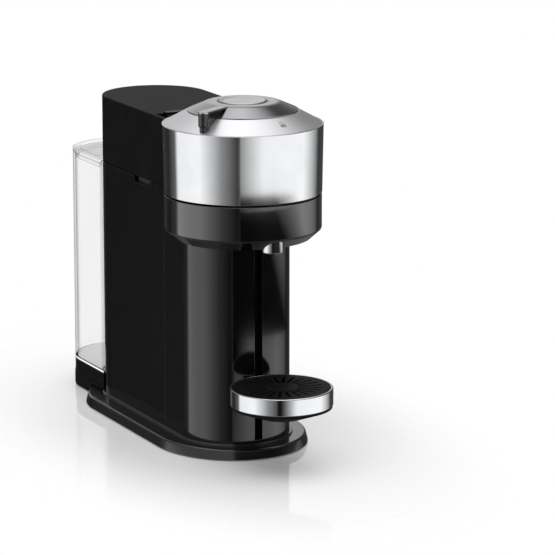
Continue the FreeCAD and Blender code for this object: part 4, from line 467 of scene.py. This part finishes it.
# %% Rubber and hidden finishes
def grained(name, dark, light, grain, roughness, metallic=0.0, ior=1.5, sheen=0.0):
    # A moulded, cast or printed part: two close tones in grains of a real size, and a matching bump.
    made, tree = new_material(name)
    place = add(tree, "TexCoord").outputs["Object"]
    grains = add(tree, "TexNoise", None, {"Vector": place, "Scale": 1 / grain, "Detail": 3.0})
    tone = add(tree, "ValToRGB", {"stops": [(0.35, paint(dark)), (0.7, paint(light))]},
               {"Fac": grains.outputs[0]})
    rough = add(tree, "MapRange", None, {"Value": grains.outputs[0], "To Min": roughness - 0.06,
                                         "To Max": roughness + 0.06})
    bump = add(tree, "Bump", None, {"Strength": 0.2, "Distance": grain / 8, "Height": grains.outputs[0]})
    inputs = {"Base Color": tone.outputs[0], "Metallic": metallic, "Roughness": rough.outputs[0],
              "Sheen Weight": sheen, "Normal": bump.outputs[0]}
    if not metallic:
        inputs["IOR"] = ior
    surface = add(tree, "BsdfPrincipled", None, inputs)
    add(tree, "OutputMaterial", None, {"Surface": surface.outputs[0]})
    return made


# For each slot: the real material, its two tones, the grain in mm, the roughness and what else it needs.
# The comment above each says what it gives the eye.
GRAINED = {
    # Dull, dusty black.
    "black_rubber": ("moulded_nitrile_rubber", "#101010", "#1B1B1B", 0.8, 0.75,
                     {"ior": 1.52, "sheen": 0.1}),
    # Cloudy white with a soft shine.
    "silicone_hose": ("milky_silicone", "#C9C8C2", "#D8D7D2", 3, 0.4, {"ior": 1.42}),
    # Cool grey metal with a fine spangle.
    "plain_steel": ("zinc_plated_steel", "#B0B2B5", "#C2C3C4", 1.2, 0.34, {"metallic": 1.0}),
    # Pale grey metal, dull from the mould.
    "cast_aluminium": ("die_cast_aluminium", "#A9AAAC", "#BEBFC0", 0.9, 0.45, {"metallic": 1.0}),
    # Charcoal that fibres make uneven.
    "inner_plastic": ("glass_filled_nylon", "#1E1E1F", "#2B2B2C", 0.7, 0.55, {"ior": 1.53}),
    # Waxy off-white.
    "bearing_plastic": ("natural_acetal", "#D6D3C8", "#E2E0D7", 2, 0.4, {"ior": 1.48}),
    # Deep green lacquer.
    "circuit_board": ("green_solder_mask", "#0C4A25", "#146035", 1.5, 0.35, {"ior": 1.55}),
    # Smoky grey while the lamp below it is off.
    "light_white": ("smoked_polycarbonate", "#3A3A3C", "#4A4A4C", 1.5, 0.25, {"ior": 1.58}),
}
for slot, (name, dark, light, grain, roughness, more) in GRAINED.items():
    finishes[slot] = grained(name, dark, light, grain * MM, roughness, **more)
# Black metal that hides the hinge in its gap.
black_steel = grained("black_zinc_steel", "#1A1A1B", "#262627", 1.0 * MM, 0.42, metallic=1.0)
special = {"lower_head_shell": hard_coat, "hinge_bracket": black_steel, "hinge_pins": black_steel}
for name, node in nodes.items():
    node.data.materials.clear()
    node.data.materials.append(special.get(name) or finishes[slot_of[name]])
print(f"{len(finishes)} finishes on {len(nodes)} nodes")

# %% [markdown]
# ## Turned pieces
# Most of the head is round about one upright axis. Such a piece could be cut from a cylinder, but an
# outline of a few corners, rounded by a vertex bevel and spun once round, is how a lathe makes it.

# %% Lathe helper
TOUCHING = 1e-6
ON_AXIS = 1e-7


def lathe(corners, centre_y, rounds=None, steps=192):
    """Spin a closed outline of (radius, height) corners about an upright axis.

    Rounds gives some corners, by number, a radius.
    """
    bm = bmesh.new()
    points = [bm.verts.new((radius, 0, height)) for radius, height in corners]
    bm.faces.new(points)
    for number, size in (rounds or {}).items():
        bmesh.ops.bevel(bm, geom=[points[number]], affect="VERTICES", offset=size, offset_type="OFFSET",
                        segments=5, profile=0.5, material=-1)
    bmesh.ops.delete(bm, geom=bm.faces[:], context="FACES_ONLY")
    on_axis = [edge for edge in bm.edges if all(vert.co.x < ON_AXIS for vert in edge.verts)]
    bmesh.ops.delete(bm, geom=on_axis, context="EDGES")
    bmesh.ops.spin(bm, geom=bm.verts[:] + bm.edges[:], cent=(0, 0, 0), axis=(0, 0, 1), angle=math.tau,
                   steps=steps, use_merge=True)
    bmesh.ops.remove_doubles(bm, verts=bm.verts[:], dist=TOUCHING)
    bmesh.ops.recalc_face_normals(bm, faces=bm.faces[:])
    bmesh.ops.translate(bm, verts=bm.verts[:], vec=(0, centre_y, 0))
    return bm


print(f"the lathe merges points within {TOUCHING / MM:.3f} mm")

# %% Finishing helper
SHARP = math.radians(38)


def finish_piece(bm, name, node, stands_for=True, slot=None, material=None):
    """Make the mesh an object that rides, replaces and is finished as its node is."""
    slot = slot or slot_of[node]
    made = to_object(bm, name, material or finishes[slot])
    made.data.shade_smooth()
    made.data.set_sharp_from_angle(angle=SHARP)
    made.modifiers.new("flat_faces_stay_flat", "WEIGHTED_NORMAL").keep_sharp = True
    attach(made, body_of[node])
    if stands_for:
        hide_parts(node)
    print(f"{name}: {len(made.data.polygons)} faces")


print(f"edges over {math.degrees(SHARP):.0f} degrees stay sharp")

# %% [markdown]
# ## Chrome band of the head
# The band is a slightly tapered tube with a window at the back, where used capsules fall out. A
# spun tube could be cut with a boolean, which leaves ragged edges. Here a thin sheet is spun, the faces
# of the window are taken out along its own grid, and only then does the sheet get its wall.

# %% Head band
BAND_WALL = 1.7 * MM
BAND_TAPER = 1.1 * MM
BRIDGE = 3.6 * MM
WINDOW_HALF = math.radians(30)
BAND_STEPS = 180
RIM_ANGLE = math.radians(50)
head_radius = head_high.x
bridge_z = head_high.z - BRIDGE
bridge_radius = head_radius - BAND_TAPER * BRIDGE / (head_high.z - head_low.z)

bm = bmesh.new()
line = [bm.verts.new((radius, 0, height)) for radius, height in (
    (head_radius - BAND_TAPER, head_low.z), (bridge_radius, bridge_z), (head_radius, head_high.z))]
strip = [bm.edges.new(pair) for pair in zip(line, line[1:])]
bmesh.ops.spin(bm, geom=line + strip, cent=(0, 0, 0), axis=(0, 0, 1), angle=math.tau, steps=BAND_STEPS,
               use_merge=True)
bmesh.ops.remove_doubles(bm, verts=bm.verts[:], dist=TOUCHING)
bmesh.ops.recalc_face_normals(bm, faces=bm.faces[:])
window = []
for face in bm.faces:
    middle = face.calc_center_median()
    from_back = abs(math.atan2(middle.x, middle.y))
    if from_back < WINDOW_HALF and middle.z < bridge_z:
        window.append(face)
bmesh.ops.delete(bm, geom=window, context="FACES")
bmesh.ops.solidify(bm, geom=bm.faces[:], thickness=BAND_WALL)
bmesh.ops.recalc_face_normals(bm, faces=bm.faces[:])
rims = [edge for edge in bm.edges if edge.is_manifold and edge.calc_face_angle() > RIM_ANGLE]
bmesh.ops.bevel(bm, geom=rims, affect="EDGES", offset=0.5 * MM, segments=3, profile=0.5, material=-1)
bmesh.ops.translate(bm, verts=bm.verts[:], vec=(0, HEAD_Y, 0))
finish_piece(bm, "chrome_band", "head_band")

# %% [markdown]
# ## Shoulder, collar, button and light ring
# Above the band a spun cone leads up to a dark collar that turns with the lever, and a dished button
# sits in its middle, inside a thin smoked ring that lights up. One outline could make all four, but the
# collar turns and the button is pressed, so each is lathe work of its own.

# %% Shoulder and collar
shoulder_low, shoulder_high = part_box("shoulder_ring")
collar_low, collar_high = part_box("lever_collar")
SHOULDER_EDGE = 49.6 * MM
SHOULDER_LEDGE = 5 * MM
SHOULDER_WALL = 2 * MM
COLLAR_FLAT = 32 * MM
COLLAR_BORE = 22.3 * MM
COLLAR_DROP = 7.9 * MM
COLLAR_WALL = 2 * MM
SLEEVE_INNER = 26.4 * MM
SLEEVE_OUTER = 28.8 * MM
collar_radius = collar_high.x
shoulder = lathe([
    (shoulder_high.x, shoulder_low.z), (SHOULDER_EDGE, shoulder_high.z),
    (SHOULDER_EDGE - SHOULDER_LEDGE, shoulder_high.z),
    (SHOULDER_EDGE - SHOULDER_LEDGE, shoulder_high.z - SHOULDER_WALL),
    (SHOULDER_EDGE - SHOULDER_WALL / 2, shoulder_high.z - SHOULDER_WALL),
    (shoulder_high.x - 2 * SHOULDER_WALL, shoulder_low.z)],
    HEAD_Y, {0: 0.25 * MM, 1: 0.5 * MM})
finish_piece(shoulder, "spun_shoulder", "shoulder_ring")

collar_base = collar_high.z - COLLAR_DROP
collar = lathe([
    (collar_radius, collar_base), (collar_radius, collar_base + 0.6 * MM), (COLLAR_FLAT, collar_high.z),
    (COLLAR_BORE, collar_high.z), (COLLAR_BORE, collar_high.z - COLLAR_WALL),
    (SLEEVE_INNER, collar_high.z - COLLAR_WALL), (SLEEVE_INNER, collar_low.z), (SLEEVE_OUTER, collar_low.z),
    (SLEEVE_OUTER, collar_high.z - 2 * COLLAR_WALL), (COLLAR_FLAT, collar_high.z - 2 * COLLAR_WALL),
    (collar_radius - COLLAR_WALL, collar_base)],
    HEAD_Y, {1: 0.3 * MM, 2: 2.5 * MM, 3: 0.4 * MM})
finish_piece(collar, "turning_collar", "lever_collar")

# %% Button and light ring
button_low, button_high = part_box("brew_button")
light_low, light_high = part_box("button_light")
BUTTON_RIM = 1.4 * MM
BUTTON_DISH = 0.9 * MM
BUTTON_SKIRT = 5.8 * MM
STEM = 5 * MM
button_radius = button_high.x
button = lathe([
    (0, button_low.z), (STEM, button_low.z), (STEM, button_high.z - BUTTON_SKIRT),
    (button_radius, button_high.z - BUTTON_SKIRT), (button_radius, button_high.z),
    (button_radius - BUTTON_RIM, button_high.z), (button_radius - 2 * BUTTON_RIM,
                                                  button_high.z - BUTTON_DISH * 0.55),
    (button_radius / 2, button_high.z - BUTTON_DISH * 0.9), (0, button_high.z - BUTTON_DISH)],
    HEAD_Y, {4: 0.6 * MM, 5: 0.4 * MM, 6: 0.8 * MM, 7: 4 * MM})
finish_piece(button, "dished_button", "brew_button")

LIGHT_INNER = button_radius + 0.3 * MM
LIGHT_OUTER = LIGHT_INNER + 1.2 * MM
light_flange = light_low.z + 1 * MM
light = lathe([
    (LIGHT_INNER, light_low.z), (light_high.x, light_low.z), (light_high.x, light_flange),
    (LIGHT_OUTER, light_flange), (LIGHT_OUTER, light_high.z), (LIGHT_INNER, light_high.z)],
    HEAD_Y, {4: 0.25 * MM, 5: 0.25 * MM})
finish_piece(light, "light_ring", "button_light")

# %% [markdown]
# ## Lock mark
# A small open padlock is etched on the shoulder, where the lever unlocks the head. It could be a
# texture, but a thin plate of its own keeps its edge sharp from close by.

# %% Lock mark
MARK_TURN = math.radians(10)
MARK_SCALE = 1.7
MARK_THICK = 0.08 * MM
LOCK_SIZE = (3.2, 2.4, 1)
LOCK_CORNER = 0.4 * MM
BOW_HEIGHT = 2.0 * MM
BOW_REACHES = (0.75 * MM, 1.2 * MM)
BOW_LEG = 0.75 * MM
cone_run = shoulder_high.x - SHOULDER_EDGE
cone_rise = shoulder_high.z - shoulder_low.z


def only(kind, items):
    """The vertices, or the edges, among what a bmesh operator gives back."""
    return [item for item in items if isinstance(item, kind)]


mark = bmesh.new()
bmesh.ops.create_grid(mark, x_segments=1, y_segments=1, size=0.5 * MM)
bmesh.ops.scale(mark, verts=mark.verts[:], vec=LOCK_SIZE)
bmesh.ops.bevel(mark, geom=mark.verts[:], affect="VERTICES", offset=LOCK_CORNER, segments=3,
                profile=0.5, material=-1)
bow = [mark.verts.new((reach, BOW_HEIGHT, 0)) for reach in BOW_REACHES]
bow_edge = mark.edges.new(bow)
bmesh.ops.spin(mark, geom=bow + [bow_edge], cent=(0, BOW_HEIGHT, 0), axis=(0, 0, 1), angle=math.pi,
               steps=16)
leg = bmesh.ops.extrude_edge_only(mark, edges=[bow_edge])
bmesh.ops.translate(mark, verts=only(bmesh.types.BMVert, leg["geom"]), vec=(0, -BOW_LEG, 0))
bmesh.ops.remove_doubles(mark, verts=mark.verts[:], dist=TOUCHING / 10)
bmesh.ops.recalc_face_normals(mark, faces=mark.faces[:])
bmesh.ops.scale(mark, verts=mark.verts[:], vec=(MARK_SCALE, MARK_SCALE, 1))
bmesh.ops.solidify(mark, geom=mark.faces[:], thickness=MARK_THICK)
bmesh.ops.recalc_face_normals(mark, faces=mark.faces[:])
cone_angle = math.atan2(cone_rise, cone_run)
bmesh.ops.rotate(mark, verts=mark.verts[:], cent=(0, 0, 0), matrix=Matrix.Rotation(cone_angle, 3, "X"))
bmesh.ops.translate(mark, verts=mark.verts[:], vec=(0, -SHOULDER_EDGE - cone_run / 2,
                                                    shoulder_low.z + cone_rise / 2))
bmesh.ops.rotate(mark, verts=mark.verts[:], cent=(0, 0, 0), matrix=Matrix.Rotation(MARK_TURN, 3, "Z"))
bmesh.ops.translate(mark, verts=mark.verts[:], vec=(0, HEAD_Y, 0))
# Etched metal: the same rings, dulled to a quiet grey.
etched = spun_metal("etched_aluminium", "#8E8E90", "#9A9A9C", 0.45, 0.4 * MM, 0.01 * MM)
finish_piece(mark, "lock_mark", "shoulder_ring", stands_for=False, slot="satin_aluminium", material=etched)

# %% [markdown]
# ## Lever
# A flat grey bar leaves the collar, and a black handle hangs from its end like a thumb. The bar is
# an outline with a round end, extruded and bevelled; the handle is a lathe drop with a thin web that
# carries it. They could be drawn where the lever rests, but pointing to +X their outlines are easy to
# read, so they are turned into place at the end.

# %% Lever bar
# The lever rests 57 degrees to the left of the front, which is at -90.
LEVER_TURN = math.radians(-90 - 57)
LEVER_HALF = 4.75 * MM
LEVER_INSET = 1.6 * MM
HEEL_GAP = 0.4 * MM
CAP_THICK = 1.4 * MM
lever_x = head_radius - LEVER_INSET - LEVER_HALF
cap_low = collar_high.z - CAP_THICK


def swing(bm):
    """Turn a lever mesh from +X to its place at the front left of the head."""
    bmesh.ops.rotate(bm, verts=bm.verts[:], cent=(0, 0, 0), matrix=Matrix.Rotation(LEVER_TURN, 3, "Z"))
    bmesh.ops.translate(bm, verts=bm.verts[:], vec=(0, HEAD_Y, 0))
    return bm


bar = bmesh.new()
tip = bar.verts.new((lever_x, -LEVER_HALF, cap_low))
arc = bmesh.ops.spin(bar, geom=[tip], cent=(lever_x, 0, cap_low), axis=(0, 0, 1), angle=math.pi, steps=24)
heel = [bar.verts.new((COLLAR_FLAT + HEEL_GAP, side * LEVER_HALF, cap_low)) for side in (1, -1)]
last = only(bmesh.types.BMVert, arc["geom_last"])[0]
for pair in ((last, heel[0]), heel, (heel[1], tip)):
    bar.edges.new(pair)
outline = bmesh.ops.contextual_create(bar, geom=bar.edges[:])["faces"]
grown = bmesh.ops.extrude_face_region(bar, geom=outline)
bmesh.ops.translate(bar, verts=only(bmesh.types.BMVert, grown["geom"]), vec=(0, 0, CAP_THICK))
bmesh.ops.recalc_face_normals(bar, faces=bar.faces[:])
top_rim = [edge for edge in bar.edges if edge.calc_face_angle() > math.radians(60)
           and min(vert.co.z for vert in edge.verts) > cap_low + CAP_THICK / 2]
bmesh.ops.bevel(bar, geom=top_rim, affect="EDGES", offset=0.35 * MM, segments=3, profile=0.5, material=-1)
finish_piece(swing(bar), "lever_bar", "lever_cap")

# %% Lever handle
FOOT_RADIUS = 3.7 * MM
FOOT_HEIGHT = 5.2 * MM
FOOT_FLARE = 0.6 * MM
LEVER_GAP = 0.6 * MM
WEB_HALF = 3.2 * MM
WEB_OVERLAP = 3 * MM
handle_low = shoulder_low.z + 0.2 * MM
foot_top = handle_low + FOOT_HEIGHT
handle = lathe([
    (0, handle_low), (FOOT_RADIUS, handle_low), (FOOT_RADIUS, foot_top),
    (LEVER_HALF, foot_top + FOOT_FLARE), (LEVER_HALF, cap_low), (0, cap_low)],
    0, {3: 0.9 * MM}, steps=48)
bmesh.ops.translate(handle, verts=handle.verts[:], vec=(lever_x, 0, 0))
# The foot is cut along the cone, so that the lever turns clear of it.
rim_clear = shoulder_low.z + LEVER_GAP / math.cos(cone_angle)
trimmed = bmesh.ops.bisect_plane(
    handle, geom=handle.verts[:] + handle.edges[:] + handle.faces[:], clear_inner=True,
    plane_co=(shoulder_high.x, 0, rim_clear),
    plane_no=(math.sin(cone_angle), 0, math.cos(cone_angle)))
bmesh.ops.contextual_create(handle, geom=only(bmesh.types.BMEdge, trimmed["geom_cut"]))
web_out = lever_x - WEB_OVERLAP
web_low = rim_clear + cone_rise / cone_run * (shoulder_high.x - web_out)
corner = [handle.verts.new((x, -WEB_HALF, z)) for x, z in (
    (COLLAR_FLAT + 4 * MM, cap_low), (collar_radius + 0.3 * MM, collar_base + 0.9 * MM),
    (web_out, web_low), (web_out, cap_low))]
web = bmesh.ops.extrude_face_region(handle, geom=[handle.faces.new(corner)])
bmesh.ops.translate(handle, verts=only(bmesh.types.BMVert, web["geom"]), vec=(0, 2 * WEB_HALF, 0))
bmesh.ops.recalc_face_normals(handle, faces=handle.faces[:])
finish_piece(swing(handle), "lever_handle", "lever_arm")

# %% [markdown]
# ## Spout and support ring
# A short bright nozzle ends under the head, and a chrome ring goes round the drip grid below it. Each
# could be a plain tube, but both are turned with rounded lips, which give the metal its thin bright edge.

# %% Spout and support ring
SPOUT_BORE = 2 * MM
SPOUT_LIP = 4.2 * MM
spout_low, spout_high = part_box("coffee_spout")
SPOUT_Y = (spout_low.y + spout_high.y) / 2
spout_radius = spout_high.x
spout = lathe([
    (SPOUT_BORE, spout_low.z + 1.2 * MM), (SPOUT_LIP, spout_low.z), (spout_radius, spout_low.z),
    (spout_radius, spout_high.z), (SPOUT_BORE, spout_high.z)],
    SPOUT_Y, {1: 0.5 * MM, 2: 1.4 * MM}, steps=96)
finish_piece(spout, "bright_spout", "coffee_spout")

ring_low, ring_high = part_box("support_ring")
SUPPORT_Y = (ring_low.y + ring_high.y) / 2
RING_WALL = 2.1 * MM
ring_radius = ring_high.x
chrome_ring = lathe([
    (ring_radius - RING_WALL, ring_low.z), (ring_radius, ring_low.z), (ring_radius, ring_high.z),
    (ring_radius - RING_WALL, ring_high.z)],
    SUPPORT_Y, {1: 1.0 * MM, 2: 0.9 * MM, 3: 0.5 * MM})
finish_piece(chrome_ring, "chrome_cup_ring", "support_ring")

# %% [markdown]
# ## Base
# The base is a hollow skirt with a raised lip round the tower's foot. Its plan is straight at the
# sides and round at the ends, a little fuller in front than a half circle. It could be an extrusion
# with a hole, but rings of points, bridged one to the next, follow every step of its section.

# %% Plan of the base
base_low, base_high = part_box("base_cover")
tower_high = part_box("tower_rear_shell")[1]
BASE_SIDE = 69.6 * MM
BASE_NOSE = 78.5 * MM
BASE_TAIL = BASE_SIDE
TAIL_INSET = 1.5 * MM
tower_radius = tower_high.x
tower_rear = tower_high.y - tower_radius
tower_front = base_low.y + base_high.x
nose_centre = base_low.y + BASE_NOSE
tail_centre = base_high.y - BASE_TAIL - TAIL_INSET


def plan_ring(bm, radius, front, rear, height, nose=None, steps=48):
    """A closed ring of edges with half-round ends about two centres.

    The front end reaches out by its nose, where that is given.
    """
    known_verts = set(bm.verts)
    known_edges = set(bm.edges)
    ends = []
    for start, centre in ((-radius, front), (radius, rear)):
        first = bm.verts.new((start, centre, height))
        arc = bmesh.ops.spin(bm, geom=[first], cent=(0, centre, height), axis=(0, 0, 1), angle=math.pi,
                             steps=steps)
        ends.append((first, only(bmesh.types.BMVert, arc["geom_last"])[0]))
    nose_verts = [vert for vert in bm.verts if vert not in known_verts and vert.co.y < front]
    bmesh.ops.scale(bm, verts=nose_verts, vec=(1, (nose or radius) / radius, 1),
                    space=Matrix.Translation((0, -front, 0)))
    bm.edges.new((ends[0][1], ends[1][0]))
    bm.edges.new((ends[1][1], ends[0][0]))
    return [edge for edge in bm.edges if edge not in known_edges]


print(f"base {2 * BASE_SIDE / MM:.1f} mm wide")

# %% Base cover
FOOT_GAP = 0.4 * MM
BASE_HEIGHT = 10 * MM
SKIRT_DRAFT = 2.2 * MM
SKIRT_WALL = 4 * MM
TOP_WALL = 2.5 * MM
LIP_WIDTH = 2.2 * MM
# How round each edge is, by the number of its ring.
BASE_ROUNDS = {0: 0.4 * MM, 1: 1.6 * MM, 3: 0.8 * MM, 4: 0.5 * MM}
ceiling = BASE_HEIGHT - TOP_WALL


def skirt_ring(inset, height):
    """A ring that follows the skirt, so far inside its foot."""
    return plan_ring(base, BASE_SIDE - inset, nose_centre, tail_centre, height, BASE_NOSE - inset)


def foot_ring(radius, height):
    """A ring that follows the tower's foot."""
    return plan_ring(base, radius, tower_front, tower_rear, height)


base = bmesh.new()
opening = tower_radius + FOOT_GAP
rings = [skirt_ring(0, base_low.z), skirt_ring(SKIRT_DRAFT, BASE_HEIGHT),
         foot_ring(opening + LIP_WIDTH, BASE_HEIGHT), foot_ring(opening + LIP_WIDTH, base_high.z),
         foot_ring(opening, base_high.z), foot_ring(opening, ceiling),
         skirt_ring(SKIRT_WALL + SKIRT_DRAFT, ceiling), skirt_ring(SKIRT_WALL, base_low.z)]
for ring, following in zip(rings, rings[1:] + rings[:1]):
    bmesh.ops.bridge_loops(base, edges=ring + following)
bmesh.ops.recalc_face_normals(base, faces=base.faces[:])
for number, size in BASE_ROUNDS.items():
    bmesh.ops.bevel(base, geom=rings[number], affect="EDGES", offset=size, segments=4, profile=0.5,
                    material=-1)
finish_piece(base, "base_skirt", "base_cover", slot="gloss_black", material=base_coat)
